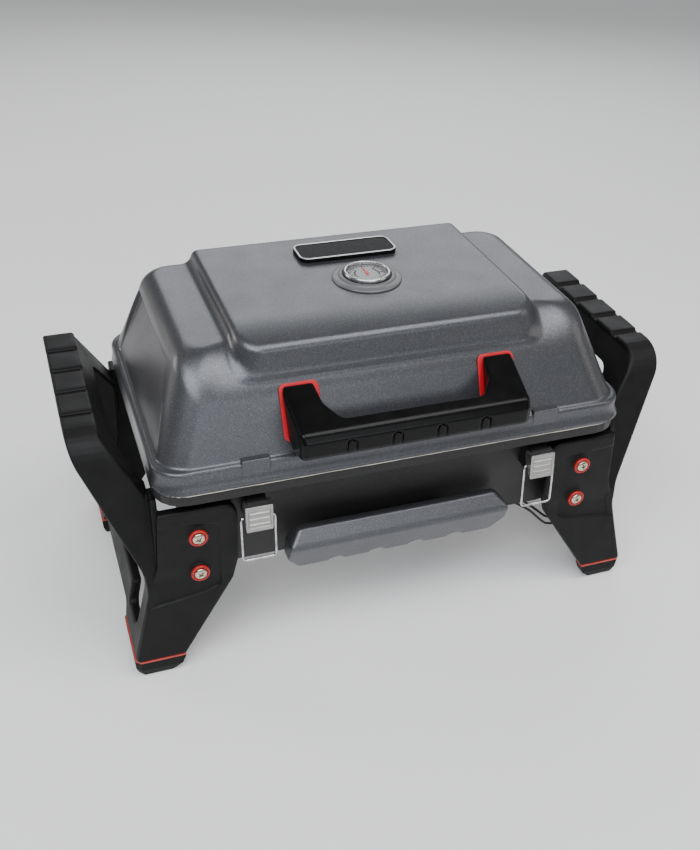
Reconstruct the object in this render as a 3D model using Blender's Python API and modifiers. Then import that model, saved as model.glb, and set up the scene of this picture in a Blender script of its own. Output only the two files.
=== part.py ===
"""Portable tabletop gas grill: cast firebox and lid, moulded side frames, latches, tray, burner and valve.

Metres, +Z up, front of the grill towards -Y,
origin under the middle of the grill at the height of its feet.
"""

import math

import bmesh
import bpy
from mathutils import Matrix, Vector

# ---- driving dimensions --------------------------------------------------------------------------
GAP = 0.0003                 # play between pieces that touch
OVERALL_HALF_X = 0.3086      # outer face of a carry handle
HANDLE_TOP_Z = 0.2564        # top of a carry handle
RIM_HALF_X = 0.2390          # lid rim, half width
RIM_FRONT_Y = 0.1513         # lid rim, from the middle of the side frames to its front
RIM_REAR_Y = 0.1320          # and to its back
RIM_CORNER = 0.0290          # lid rim, plan corner radius
RIM_LOW_Z = 0.2145           # lower edge of the lid rim
RIM_TOP_Z = 0.2365           # upper edge of the lid rim
LID_FOOT_HALF_X = 0.2325     # lid body where it leaves the rim
LID_FOOT_FRONT_Y = 0.1450
LID_FOOT_REAR_Y = 0.1260
LID_TOP_Z = 0.3225           # flat top beside the raised panel
PANEL_TOP_Z = 0.3350
PANEL_HALF_X = 0.1480
FIREBOX_LOW_Z = 0.0960
FIREBOX_TOP_Z = 0.2125
PLATE_FACE_Y = 0.1450        # outer face of the screwed leg plates, front and back
PLATE_TOP_Z = 0.1905
SEAM_X = 0.2380              # outer upright edge of a leg plate
FOOT_JOINT_Z = 0.0185        # where a foot's band sits
BAND_HEIGHT = 0.0022
SCREW_X = 0.2025
SCREW_HEIGHTS = {"upper": 0.1588, "lower": 0.1159}
LATCH_X = 0.1467
LATCH_HALF_X = 0.0130
HINGE_X = 0.1200
HINGE_Y = 0.1520
HINGE_Z = 0.2130
GAUGE_X, GAUGE_Y = 0.0060, -0.0090
BADGE_X, BADGE_Y = 0.0050, 0.0570
PLATE_THICKNESS = 0.0110     # of a screwed leg plate
LEDGE_LOW_Z, LEDGE_TOP_Z = 0.1500, 0.1920   # ledges inside the firebox: heat plate below, grate above
VALVE_Y, VALVE_Z = 0.0000, 0.1350
IGNITER_Y, IGNITER_Z = -0.0850, 0.1550
LEAD_PORT = (0.1500, -0.0970)   # where the spark lead enters the firebox, through its floor
LEAD_RADIUS = 0.0014

CENTRING_Y = 0.0100          # moves the grill so that its handle and hinges lie equally far from the origin

COLLECTION = "portable_tabletop_grill"
MATERIALS = {
    "lid_paint": ((0.17, 0.17, 0.18), 0.45, 0.6),
    "firebox_paint": ((0.022, 0.021, 0.021), 0.50, 0.3),
    "frame_plastic": ((0.014, 0.014, 0.015), 0.60, 0.0),
    "red_plastic": ((0.60, 0.03, 0.02), 0.50, 0.0),
    "gasket_rubber": ((0.75, 0.03, 0.05), 0.60, 0.0),
    "foot_rubber": ((0.012, 0.012, 0.012), 0.80, 0.0),
    "bright_steel": ((0.60, 0.58, 0.55), 0.30, 1.0),
    "chrome": ((0.80, 0.80, 0.80), 0.10, 1.0),
    "porcelain_iron": ((0.015, 0.015, 0.015), 0.35, 0.2),
    "stainless": ((0.55, 0.55, 0.55), 0.35, 1.0),
    "galvanised": ((0.40, 0.41, 0.42), 0.45, 1.0),
    "dial_grey": ((0.35, 0.36, 0.36), 0.55, 0.0),
    "glass": ((0.80, 0.85, 0.85), 0.05, 0.0),
    "black_plastic": ((0.010, 0.010, 0.010), 0.35, 0.0),
    "brass": ((0.55, 0.42, 0.18), 0.30, 1.0),
    "ceramic": ((0.80, 0.78, 0.72), 0.40, 0.0),
    "lead_rubber": ((0.010, 0.010, 0.010), 0.55, 0.0),
}


# ---- scene and helpers ---------------------------------------------------------------------------
def clear_scene():
    for obj in list(bpy.data.objects):
        bpy.data.objects.remove(obj, do_unlink=True)


def make_collection(name):
    collection = bpy.data.collections.new(name)
    bpy.context.scene.collection.children.link(collection)
    return collection


def material(name):
    found = bpy.data.materials.get(name)
    if found:
        return found
    colour, roughness, metallic = MATERIALS[name]
    made = bpy.data.materials.new(name)
    made.use_nodes = True
    shader = made.node_tree.nodes["Principled BSDF"]
    shader.inputs["Base Color"].default_value = (*colour, 1.0)
    shader.inputs["Roughness"].default_value = roughness
    shader.inputs["Metallic"].default_value = metallic
    return made


def new_object(name, mesh, collection):
    obj = bpy.data.objects.new(name, mesh)
    collection.objects.link(obj)
    return obj


def evaluated_mesh(obj):
    bpy.context.view_layer.update()
    graph = bpy.context.evaluated_depsgraph_get()
    return bpy.data.meshes.new_from_object(obj.evaluated_get(graph))


def finish(obj, material_name, smooth_deg=35.0):
    """Gives a finished piece its material and its smooth shading."""
    obj.data.materials.clear()
    obj.data.materials.append(material(material_name))
    obj.data.shade_smooth()
    obj.data.set_sharp_from_angle(angle=math.radians(smooth_deg))
    return obj


def as_cutter(obj):
    for collection in list(obj.users_collection):
        collection.objects.unlink(obj)
    CUTTERS.objects.link(obj)
    obj.hide_render = True
    obj.display_type = "WIRE"
    return obj


def combine(obj, others, operation):
    """Applies one exact Boolean for each of the other objects, which become hidden cutters."""
    for other in others:
        as_cutter(other)
        step = obj.modifiers.new(operation.lower(), "BOOLEAN")
        step.operation = operation
        step.solver = "EXACT"
        step.object = other
    mesh = evaluated_mesh(obj)
    obj.modifiers.clear()
    obj.data = mesh
    return obj


def cut(obj, *others):
    return combine(obj, others, "DIFFERENCE")


def join(obj, *others):
    return combine(obj, others, "UNION")


def keep_common(obj, other):
    return combine(obj, (other,), "INTERSECT")


def bevel(obj, width, segments=2, angle_deg=40.0):
    step = obj.modifiers.new("bevel", "BEVEL")
    step.width = width
    step.segments = segments
    step.limit_method = "ANGLE"
    step.angle_limit = math.radians(angle_deg)
    obj.data = evaluated_mesh(obj)
    obj.modifiers.clear()
    return obj


def box(name, low, high):
    mesh = bpy.data.meshes.new(name)
    work = bmesh.new()
    size = [h - l for l, h in zip(low, high)]
    middle = [(l + h) / 2 for l, h in zip(low, high)]
    bmesh.ops.create_cube(work, size=1.0, matrix=Matrix.Translation(middle) @ Matrix.Diagonal((*size, 1.0)))
    work.to_mesh(mesh)
    work.free()
    return new_object(name, mesh, PARTS)


AXIS_TURN = {
    "X": Matrix.Rotation(math.radians(90), 4, "Y"),
    "Y": Matrix.Rotation(math.radians(-90), 4, "X"),
    "Z": Matrix.Identity(4),
}


def cylinder(name, centre, axis, radius, length, sides=32, end_radius=None):
    """A cylinder, or a cone that ends at end_radius, centred at a point and lying along a row axis."""
    mesh = bpy.data.meshes.new(name)
    work = bmesh.new()
    bmesh.ops.create_cone(
        work,
        cap_ends=True,
        segments=sides,
        radius1=radius,
        radius2=radius if end_radius is None else end_radius,
        depth=length,
        matrix=Matrix.Translation(centre) @ AXIS_TURN[axis],
    )
    work.to_mesh(mesh)
    work.free()
    return new_object(name, mesh, PARTS)


def prism(name, outline, plane, low, high):
    """A flat outline in one of the planes XY, XZ or YZ, extruded between two values of the third axis."""
    curve = bpy.data.curves.new(name, "CURVE")
    curve.dimensions = "2D"
    curve.fill_mode = "BOTH"
    curve.extrude = (high - low) / 2
    spline = curve.splines.new("POLY")
    spline.points.add(len(outline) - 1)
    for point, (u, v) in zip(spline.points, outline):
        point.co = (u, v, 0.0, 1.0)
    spline.use_cyclic_u = True
    guide = new_object(name + "_outline", curve, PARTS)
    mesh = evaluated_mesh(guide)
    bpy.data.objects.remove(guide, do_unlink=True)
    columns = {
        "XY": ((1, 0, 0), (0, 1, 0), (0, 0, 1)),
        "XZ": ((1, 0, 0), (0, 0, 1), (0, -1, 0)),
        "YZ": ((0, 1, 0), (0, 0, 1), (1, 0, 0)),
    }[plane]
    middle = (low + high) / 2
    turn = Matrix(columns).transposed().to_4x4()
    offset = {"XY": (0, 0, middle), "XZ": (0, middle, 0), "YZ": (middle, 0, 0)}[plane]
    mesh.transform(Matrix.Translation(offset) @ turn)
    obj = new_object(name, mesh, PARTS)
    clean(obj)
    return obj


def clean(obj, distance=1e-6):
    work = bmesh.new()
    work.from_mesh(obj.data)
    bmesh.ops.remove_doubles(work, verts=work.verts, dist=distance)
    bmesh.ops.recalc_face_normals(work, faces=work.faces)
    work.to_mesh(obj.data)
    work.free()


def arc(centre, radius, start_deg, end_deg, steps=6):
    points = []
    for i in range(steps + 1):
        angle = math.radians(start_deg + (end_deg - start_deg) * i / steps)
        points.append((centre[0] + radius * math.cos(angle), centre[1] + radius * math.sin(angle)))
    return points


def rounded_rectangle(half_x, half_y, radius, steps=5, centre=(0.0, 0.0)):
    cx, cy = centre
    points = []
    for sx, sy, start in ((1, 1, 0), (-1, 1, 90), (-1, -1, 180), (1, -1, 270)):
        corner = (cx + sx * (half_x - radius), cy + sy * (half_y - radius))
        points += arc(corner, radius, start, start + 90, steps)
    return points


def round_corners(points, radii, steps=4):
    """A closed outline with its corners rounded: one radius for each point, 0 for a sharp one."""
    rounded = []
    count = len(points)
    for i, radius in enumerate(radii):
        here = Vector(points[i])
        if radius <= 0:
            rounded.append(tuple(here))
            continue
        to_last = (Vector(points[i - 1]) - here).normalized()
        to_next = (Vector(points[(i + 1) % count]) - here).normalized()
        half = to_last.angle(to_next) / 2
        reach = radius / math.tan(half)
        centre = here + (to_last + to_next).normalized() * (radius / math.sin(half))
        first = here + to_last * reach - centre
        last = here + to_next * reach - centre
        start = math.atan2(first.y, first.x)
        sweep = math.atan2(last.y, last.x) - start
        sweep = (sweep + math.pi) % (2 * math.pi) - math.pi
        for k in range(steps + 1):
            angle = start + sweep * k / steps
            rounded.append((centre.x + radius * math.cos(angle), centre.y + radius * math.sin(angle)))
    return rounded


def loft(name, sections):
    """A closed body through plan outlines with the same number of points, as (outline, z) from the bottom."""
    mesh = bpy.data.meshes.new(name)
    work = bmesh.new()
    rings = [[work.verts.new((x, y, z)) for x, y in outline] for outline, z in sections]
    count = len(rings[0])
    for lower, upper in zip(rings, rings[1:]):
        for i in range(count):
            j = (i + 1) % count
            work.faces.new((lower[i], lower[j], upper[j], upper[i]))
    work.faces.new(reversed(rings[0]))
    work.faces.new(rings[-1])
    bmesh.ops.recalc_face_normals(work, faces=work.faces)
    work.to_mesh(mesh)
    work.free()
    return new_object(name, mesh, PARTS)


def tube(name, points, radius, closed=False, resolution=2):
    """A round wire or tube along points."""
    curve = bpy.data.curves.new(name, "CURVE")
    curve.dimensions = "3D"
    curve.bevel_depth = radius
    curve.bevel_resolution = resolution
    curve.use_fill_caps = not closed
    spline = curve.splines.new("POLY")
    spline.points.add(len(points) - 1)
    for point, where in zip(spline.points, points):
        point.co = (*where, 1.0)
    spline.use_cyclic_u = closed
    guide = new_object(name + "_path", curve, PARTS)
    mesh = evaluated_mesh(guide)
    bpy.data.objects.remove(guide, do_unlink=True)
    obj = new_object(name, mesh, PARTS)
    clean(obj)
    return obj


def turned(name, profile, centre, steps=40):
    """A body turned about the Z axis through a point. The profile is a closed run of (radius, z)."""
    mesh = bpy.data.meshes.new(name)
    work = bmesh.new()
    verts = [work.verts.new((radius, 0.0, z)) for radius, z in profile]
    for a, b in zip(verts, verts[1:]):
        work.edges.new((a, b))
    work.to_mesh(mesh)
    work.free()
    obj = new_object(name, mesh, PARTS)
    screw = obj.modifiers.new("screw", "SCREW")
    screw.steps = steps
    screw.render_steps = steps
    screw.use_merge_vertices = True
    screw.merge_threshold = 0.00001
    obj.data = evaluated_mesh(obj)
    obj.modifiers.clear()
    obj.data.transform(Matrix.Translation(centre))
    clean(obj)
    return obj


def place_origin(obj, where):
    """Moves a piece's origin to a point, such as one on its joint's axis, and leaves its shape in place."""
    obj.data.transform(Matrix.Translation(-Vector(where)))
    obj.location = where
    return obj


def mirrored(name, obj, axis="X"):
    """A mirror copy of a finished piece in its own object."""
    mesh = obj.data.copy()
    mesh.transform(Matrix.Translation(obj.location))
    scale = Matrix.Diagonal((-1, 1, 1, 1)) if axis == "X" else Matrix.Diagonal((1, -1, 1, 1))
    mesh.transform(scale)
    mesh.flip_normals()
    copy = new_object(name, mesh, PARTS)
    where = scale @ Vector((*obj.location, 1.0))
    if obj.location.length > 0:
        place_origin(copy, where.to_3d())
    return copy


# ---- firebox -------------------------------------------------------------------------------------
def firebox_wall(z):
    """Outer half width, and front and rear reach, of the firebox wall at a height."""
    share = (z - FIREBOX_LOW_Z) / (0.1980 - FIREBOX_LOW_Z)
    return 0.2000 + 0.0220 * share, 0.1180 + 0.0140 * share, 0.1100 + 0.0120 * share


def offset_outline(half_x, front, rear, radius, steps=5):
    """A rounded rectangle that reaches further to the front than to the rear."""
    return rounded_rectangle(half_x, (front + rear) / 2, radius, steps, (0.0, (rear - front) / 2))


def make_firebox():
    corner = 0.030
    outer = []
    for z, inset in ((FIREBOX_LOW_Z, 0.004), (0.1000, 0.0), (0.1980, 0.0)):
        half_x, front, rear = firebox_wall(z)
        outer.append((offset_outline(half_x - inset, front - inset, rear - inset, corner - inset), z))
    for z, inset in ((0.2005, 0.0015), (0.2015, 0.0005), (FIREBOX_TOP_Z, 0.0005)):
        rim = offset_outline(RIM_HALF_X - inset, RIM_FRONT_Y - inset, RIM_REAR_Y - inset, RIM_CORNER)
        outer.append((rim, z))
    shell = loft("firebox", outer)
    # The wall, with the ledge of the heat plate and, above it, the ledge of the grate.
    steps = (
        (0.0995, 0.1935, 0.1110, 0.1030), (LEDGE_LOW_Z, 0.2030, 0.1180, 0.1090),
        (LEDGE_LOW_Z + 0.0002, 0.2075, 0.1215, 0.1125), (LEDGE_TOP_Z, 0.2160, 0.1270, 0.1170),
        (LEDGE_TOP_Z + 0.0002, 0.2195, 0.1310, 0.1200), (0.2200, 0.2220, 0.1330, 0.1210),
    )
    levels = [(offset_outline(half_x, front, rear, 0.024), z) for z, half_x, front, rear in steps]
    cavity = loft("firebox_cavity", levels)
    drain = prism("firebox_drain", rounded_rectangle(0.055, 0.035, 0.010), "XY", 0.090, 0.105)
    port = cylinder("valve_port", (0.2100, VALVE_Y, VALVE_Z), "X", 0.0150, 0.060)
    lead_port = cylinder("lead_port", (*LEAD_PORT, FIREBOX_LOW_Z), "Z", 0.0030, 0.020, sides=16)
    bosses, holes = [], []
    seat_y = PLATE_FACE_Y - PLATE_THICKNESS - GAP
    for side in (-1, 1):
        root_y = 0.0880 if side > 0 else 0.0960
        for across in (-1, 1):
            for z in SCREW_HEIGHTS.values():
                middle_y = side * (seat_y + root_y) / 2
                bosses.append(cylinder("boss", (across * SCREW_X, middle_y, z), "Y", 0.0085,
                                       seat_y - root_y, sides=20))
                holes.append(cylinder("boss_hole", (across * SCREW_X, side * seat_y, z), "Y", 0.0033,
                                      0.012, sides=16))
    rails = []
    for side in (-1, 1):
        web = box("rail_web", (side * 0.0890 - 0.0015, -0.0880, 0.0700),
                  (side * 0.0890 + 0.0015, 0.0950, 0.0980))
        lip = box("rail_lip", (side * 0.0830 - 0.0070, -0.0881, 0.0700),
                  (side * 0.0830 + 0.0070, 0.0951, 0.0720))
        rails += [web, lip]
    join(shell, *bosses)
    cut(shell, cavity, drain, port, lead_port, *holes)
    join(shell, *rails)
    clean(shell)
    return finish(shell, "firebox_paint")


# ---- side frames and feet ------------------------------------------------------------------------
def outer_face_x(z):
    """Half width over a side frame's outer wall: it flares to the feet and up to the carry handle."""
    waist_z, waist_x = 0.1090, 0.2500
    if z < waist_z:
        return waist_x + (waist_z - z) * 0.2500
    return min(OVERALL_HALF_X, waist_x + (z - waist_z) * 0.4350)


def inner_face_x(z):
    """Half width to the inner face of the same wall: the wall thickens into the handle."""
    if z < 0.1300:
        return outer_face_x(z) - 0.0100
    return min(0.2762, 0.2405 + max(0.0, z - PLATE_TOP_Z) * 0.5950)


def handle_outline():
    """The carry handle and the leg wall under it, seen from the side."""
    foot_z = FOOT_JOINT_Z + GAP + BAND_HEIGHT
    points = [
        (-0.1500, foot_z), (-0.1440, 0.1090), (-0.0985, HANDLE_TOP_Z), (0.1075, HANDLE_TOP_Z),
        (0.1440, 0.1090),
        (0.1500, foot_z), (0.0816, foot_z), (0.0730, 0.0330), (-0.0730, 0.0330), (-0.0816, foot_z),
    ]
    radii = [0, 0.040, 0.036, 0.008, 0.040, 0, 0, 0.012, 0.012, 0]
    return round_corners(points, radii, 5)


def handle_opening():
    top_z, rail_z, pocket_z = 0.2270, 0.0650, 0.0420
    points = [
        (-0.1220, 0.1090), (-0.0690, top_z), (0.0770, top_z), (0.1220, 0.1090),
        (0.1250, pocket_z), (0.0860, pocket_z), (0.0820, rail_z), (-0.0820, rail_z), (-0.0860, pocket_z),
        (-0.1250, pocket_z),
    ]
    radii = [0.060, 0.016, 0.010, 0.060, 0.012, 0.008, 0.006, 0.006, 0.008, 0.012]
    return round_corners(points, radii, 4)


def lean_wall(obj):
    """Bends an upright slab between 0 and 1 in X to the wall's leaning inner and outer faces."""
    for vertex in obj.data.vertices:
        z = vertex.co.z
        inner, outer = inner_face_x(z), outer_face_x(z)
        vertex.co.x = inner + (outer - inner) * vertex.co.x
    obj.data.update()


def slice_levels(obj, heights):
    """Adds edge loops at heights, so that the slab can bend there."""
    work = bmesh.new()
    work.from_mesh(obj.data)
    for z in heights:
        geometry = work.verts[:] + work.edges[:] + work.faces[:]
        bmesh.ops.bisect_plane(work, geom=geometry, plane_co=(0, 0, z), plane_no=(0, 0, 1), dist=1e-7)
    work.to_mesh(obj.data)
    work.free()


def leg_plate_outline():
    """A screwed plate and the leg under it, seen from the front."""
    foot_z = FOOT_JOINT_Z + GAP + BAND_HEIGHT
    points = [
        (0.1640, PLATE_TOP_Z), (0.1640, 0.1250), (0.1700, 0.1010), (0.2225, foot_z),
        (outer_face_x(foot_z) - 0.001, foot_z), (0.2490, 0.1090), (0.2420, 0.1300),
        (SEAM_X + 0.0005, PLATE_TOP_Z),
    ]
    radii = [0.014, 0.020, 0.020, 0, 0, 0, 0, 0]
    return round_corners(points, radii, 4)


def lean_leg(obj, side_y):
    """Slopes a leg plate's outer face forwards from its middle to the foot."""
    for vertex in obj.data.vertices:
        if vertex.co.z < 0.1050 and abs(vertex.co.y) > PLATE_FACE_Y - 0.005:
            vertex.co.y += side_y * (0.1050 - vertex.co.z) * 0.0950
    obj.data.update()


def make_side_frame_right():
    wall = prism("side_frame_right", handle_outline(), "YZ", 0.0, 1.0)
    opening = prism("handle_opening", handle_opening(), "YZ", -0.1, 1.1)
    wall = cut(wall, opening)
    slice_levels(wall, [0.1090, 0.1300, 0.1700, 0.1900, 0.2100, 0.2300, 0.2437, 0.2495])
    lean_wall(wall)
    clean(wall)
    plates = []
    for side in (-1, 1):
        low, high = sorted((side * (PLATE_FACE_Y - PLATE_THICKNESS), side * PLATE_FACE_Y))
        plate = prism("leg_plate", leg_plate_outline(), "XZ", low, high)
        slice_levels(plate, [0.1050])
        lean_leg(plate, side)
        plates.append(plate)
    # Webs that close the corner between each plate's outer edge and the wall's leaning front or rear edge.
    webs = []
    for side in (-1, 1):
        corners = ((0.1350, 0.1150), (0.1350, 0.1905), (0.1325, 0.2000), (0.1110, 0.2000), (0.1300, 0.1400))
        web = [(side * y, z) for y, z in corners]
        webs.append(prism("corner_web", web, "YZ", 0.2365, 0.2425))
    wall = join(wall, *plates, *webs)
    # Finger grooves across the top of the carry handle.
    grooves = []
    pitch, middle_y, half = 0.0410, 0.0067, 0.0055
    for i in range(4):
        y = (i - 1.5) * pitch + middle_y
        low, high = (0.27, y - half, HANDLE_TOP_Z - 0.0030), (0.32, y + half, HANDLE_TOP_Z + 0.01)
        grooves.append(box("finger_groove", low, high))
    holes = []
    for side in (-1, 1):
        for z in SCREW_HEIGHTS.values():
            where = (SCREW_X, side * (PLATE_FACE_Y - 0.005), z)
            holes.append(cylinder("screw_hole", where, "Y", 0.0033, 0.030, sides=16))
    wall = cut(wall, *grooves, *holes)
    clean(wall)
    return finish(wall, "frame_plastic")


def foot_outline(inset, inner_x=0.2228):
    """Plan of a foot: an L, across the front of the leg and back along the outer wall."""
    outer = outer_face_x(FOOT_JOINT_Z) + 0.0002 - inset
    inner_wall = outer_face_x(FOOT_JOINT_Z) - 0.0120 + inset
    front, chamfer, heel = -0.1528 + inset, 0.0050, -0.0816 - inset
    return [
        (inner_x + inset, front), (outer - chamfer, front), (outer, front + chamfer), (outer, heel),
        (inner_wall, heel), (inner_wall, -0.1400), (inner_x + inset, -0.1400),
    ]


def make_feet():
    cap = loft("foot_cap_front_right", [
        (foot_outline(0.0035, 0.2330), 0.0),
        (foot_outline(0.0005, 0.2260), 0.0090),
        (foot_outline(0.0), FOOT_JOINT_Z),
    ])
    band = prism("foot_band_front_right", foot_outline(0.0002), "XY", FOOT_JOINT_Z + GAP,
                 FOOT_JOINT_Z + BAND_HEIGHT)
    clean(cap)
    finish(cap, "foot_rubber")
    finish(band, "red_plastic")
    for kind, piece in (("foot_cap", cap), ("foot_band", band)):
        mirrored(kind + "_front_left", piece, "X")
        rear = mirrored(kind + "_rear_right", piece, "Y")
        mirrored(kind + "_rear_left", rear, "X")


def make_screws():
    """A pan-head screw and its red washer at each hole of each leg plate."""
    head_low = PLATE_FACE_Y + GAP
    for y_name, side in (("front", -1), ("rear", 1)):
        for x_name, across in (("left", -1), ("right", 1)):
            for level, z in SCREW_HEIGHTS.items():
                label = f"{y_name}_{x_name}_{level}"
                centre = (across * SCREW_X, side * (head_low + 0.0012), z)
                washer = cylinder("screw_washer_" + label, centre, "Y", 0.0090, 0.0024, sides=24)
                hole = cylinder("washer_hole", centre, "Y", 0.0032, 0.01, sides=16)
                cut(washer, hole)
                finish(washer, "red_plastic")
                head_y = side * (head_low + 0.0024 + GAP + 0.0010)
                head = cylinder("leg_screw_" + label, (centre[0], head_y, z), "Y", 0.0060, 0.0020, sides=20)
                shank = cylinder("shank", (centre[0], side * 0.1424, z), "Y", 0.0029, 0.0126, sides=12)
                join(head, shank)
                slot_y = side * (head_low + 0.0024 + GAP + 0.0020)
                wide = box("slot", (centre[0] - 0.0028, slot_y - 0.0010, z - 0.0006),
                           (centre[0] + 0.0028, slot_y + 0.0010, z + 0.0006))
                tall = box("slot", (centre[0] - 0.0006, slot_y - 0.0011, z - 0.0028),
                           (centre[0] + 0.0006, slot_y + 0.0011, z + 0.0028))
                cut(head, wide, tall)
                finish(head, "bright_steel")


# ---- cooking parts -------------------------------------------------------------------------------
def make_emitter_plate():
    low_z = LEDGE_LOW_Z + 0.0002 + GAP
    plate = loft("emitter_plate", [
        (offset_outline(0.2065, 0.1205, 0.1115, 0.023), low_z),
        (offset_outline(0.2065, 0.1205, 0.1115, 0.023), low_z + 0.0020),
    ])
    slots = []
    for row in range(-3, 4):
        slots.append(box("heat_slot", (-0.150, row * 0.030 - 0.0040, 0.14),
                         (0.150, row * 0.030 + 0.0040, 0.16)))
    cut(plate, *slots)
    return finish(plate, "stainless")


def make_cooking_grate():
    """Parallel cast bars between two end rails, resting on the firebox's upper ledge."""
    low_z, high_z = LEDGE_TOP_Z + 0.0002 + GAP, 0.1995
    half_x, front, rear, rail = 0.2180, 0.1290, 0.1185, 0.0100
    outline = offset_outline(half_x, front, rear, 0.023)
    frame = loft("cooking_grate", [(outline, low_z), (outline, high_z)])
    gaps = []
    bars, pitch, half_gap = 23, 0.0180, 0.0055
    for i in range(-(bars // 2), bars // 2 + 1):
        x = i * pitch
        gaps.append(box("grate_gap", (x - half_gap, rail - front, 0.18), (x + half_gap, rear - rail, 0.21)))
    cut(frame, *gaps)
    return finish(frame, "porcelain_iron")


def make_burner():
    """A straight burner tube from the valve port, closed at its far end, and its spark plug."""
    tube_z = 0.1320
    body = cylinder("burner_tube", (0.0250, VALVE_Y, tube_z), "X", 0.0115, 0.3400, sides=24)
    hollow = cylinder("burner_hollow", (0.0240, VALVE_Y, tube_z), "X", 0.0100, 0.3360, sides=24)
    venturi = cylinder("venturi", (0.2010, VALVE_Y, VALVE_Z), "X", 0.0080, 0.0200, sides=20)
    mouth = cylinder("venturi_bore", (0.2000, VALVE_Y, VALVE_Z), "X", 0.0065, 0.0400, sides=20)
    ports = []
    for i in range(9):
        x = -0.1160 + i * 0.0300
        ports.append(box("flame_port", (x - 0.0040, VALVE_Y - 0.0140, 0.1310),
                         (x + 0.0040, VALVE_Y + 0.0140, 0.1330)))
    join(body, venturi)
    cut(body, hollow, mouth, *ports)
    clean(body)
    finish(body, "stainless")
    electrode = cylinder("igniter_electrode", (0.0600, -0.0300, 0.1270), "Y", 0.0032, 0.0240, sides=12)
    tip = cylinder("electrode_tip", (0.0600, -0.0155, 0.1270), "Y", 0.0009, 0.0060, sides=10)
    join(electrode, tip)
    finish(electrode, "ceramic")


# ---- grease tray ---------------------------------------------------------------------------------
def make_grease_tray():
    """An open pan on the firebox's rails, with a tongue that runs forwards to the handle."""
    tray = box("grease_tray", (-0.0865, -0.0980, 0.0725), (0.0865, 0.0930, 0.0925))
    hollow = box("tray_hollow", (-0.0850, -0.0965, 0.0740), (0.0850, 0.0915, 0.1000))
    tongue = box("tray_tongue", (-0.0740, -0.1350, 0.0920), (0.0740, -0.0970, 0.0950))
    front = box("tray_front", (-0.0741, -0.1355, 0.0921), (0.0741, -0.1330, 0.1280))
    cut(tray, hollow)
    join(tray, tongue, front)
    clean(tray)
    return finish(tray, "galvanised")


def make_tray_handle():
    """The bar across the front of the tray: a wedge in section, with four finger notches under it."""
    section = [(-0.1358, 0.0950), (-0.1358, 0.1430), (-0.1447, 0.1455), (-0.1594, 0.1315),
               (-0.1430, 0.0950)]
    bar = prism("tray_handle", round_corners(section, [0, 0, 0.004, 0.006, 0.003], 3), "YZ", -0.1240,
                0.1240)
    half = [(0.1030, 0.1470), (0.1160, 0.1330), (0.1175, 0.1130), (0.1040, 0.0940)]
    front = half + [(-x, z) for x, z in reversed(half)]
    radii = [0.006, 0.010, 0.012, 0.010, 0.010, 0.012, 0.010, 0.006]
    outline = prism("tray_handle_front", round_corners(front, radii, 3), "XZ", -0.1700, -0.1300)
    keep_common(bar, outline)
    notches = []
    for i in range(4):
        x = (i - 1.5) * 0.0430
        notches.append(cylinder("finger_notch", (x, -0.1500, 0.0900), "Y", 0.0100, 0.0400, sides=20))
    cut(bar, *notches)
    clean(bar)
    return finish(bar, "lid_paint")


# ---- latches -------------------------------------------------------------------------------------
LEVER_PIVOT = (-0.1485, 0.1885)
BAIL_PIVOT = (-0.1520, 0.1760)


def make_latch(side, name):
    """A draw latch: a base on the firebox, a lever that turns about its top, and a wire bail."""
    middle = side * LATCH_X
    low_z, high_z = 0.1660, 0.1930
    low_y, high_y = -firebox_wall(low_z)[1] - GAP, -firebox_wall(high_z)[1] - GAP
    section = [(low_y, low_z), (high_y, high_z), (-0.1530, high_z), (-0.1530, 0.1840), (-0.1440, low_z)]
    base = prism("latch_base_" + name, round_corners(section, [0, 0, 0.002, 0.002, 0.004], 2), "YZ",
                 middle - 0.0098, middle + 0.0098)
    finish(base, "firebox_paint")

    outline = [(-0.1565, 0.1915), (-0.1580, 0.1915), (-0.1606, 0.1662), (-0.1588, 0.1650)]
    plate = prism("latch_lever_" + name, outline, "YZ", middle - LATCH_HALF_X, middle + LATCH_HALF_X)
    cheeks = []
    for edge in (-1, 1):
        inner, outer = sorted((middle + edge * (LATCH_HALF_X - 0.0016), middle + edge * LATCH_HALF_X))
        cheek = round_corners([(-0.1572, 0.1915), (-0.1450, 0.1925), (-0.1450, 0.1850), (-0.1500, 0.1720),
                               (-0.1585, 0.1680)], [0, 0.003, 0.004, 0.004, 0], 3)
        cheeks.append(prism("lever_cheek", cheek, "YZ", inner, outer))
    ribs = []
    for i in range(3):
        z = 0.1720 + i * 0.0060
        y = -0.1606 + (z - 0.1662) * 0.1
        ribs.append(box("lever_rib", (middle - 0.0095, y - 0.0009, z - 0.0012),
                        (middle + 0.0095, y + 0.0020, z + 0.0012)))
    join(plate, *cheeks, *ribs)
    clean(plate)
    finish(plate, "bright_steel")
    place_origin(plate, (middle, *LEVER_PIVOT))

    half, wire = 0.0164, 0.0012
    pivot_y, pivot_z = BAIL_PIVOT
    bottom_z = 0.1290
    bend = 0.0040
    left = [(-(LATCH_HALF_X + 0.0009), 0.0), (-half + bend * 0.3, 0.0), (-half, -bend)]
    path = []
    for x, z in left:
        path.append((middle + x, pivot_y, pivot_z + z))
    for x, z in arc((-half + bend, bottom_z + bend), bend, 180, 270, 4):
        path.append((middle + x, pivot_y - 0.0045, z))
    for x, z in arc((half - bend, bottom_z + bend), bend, 270, 360, 4):
        path.append((middle + x, pivot_y - 0.0045, z))
    for x, z in reversed(left):
        path.append((middle - x, pivot_y, pivot_z + z))
    bail = tube("latch_bail_" + name, path, wire)
    finish(bail, "chrome")
    place_origin(bail, (middle, *BAIL_PIVOT))


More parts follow.
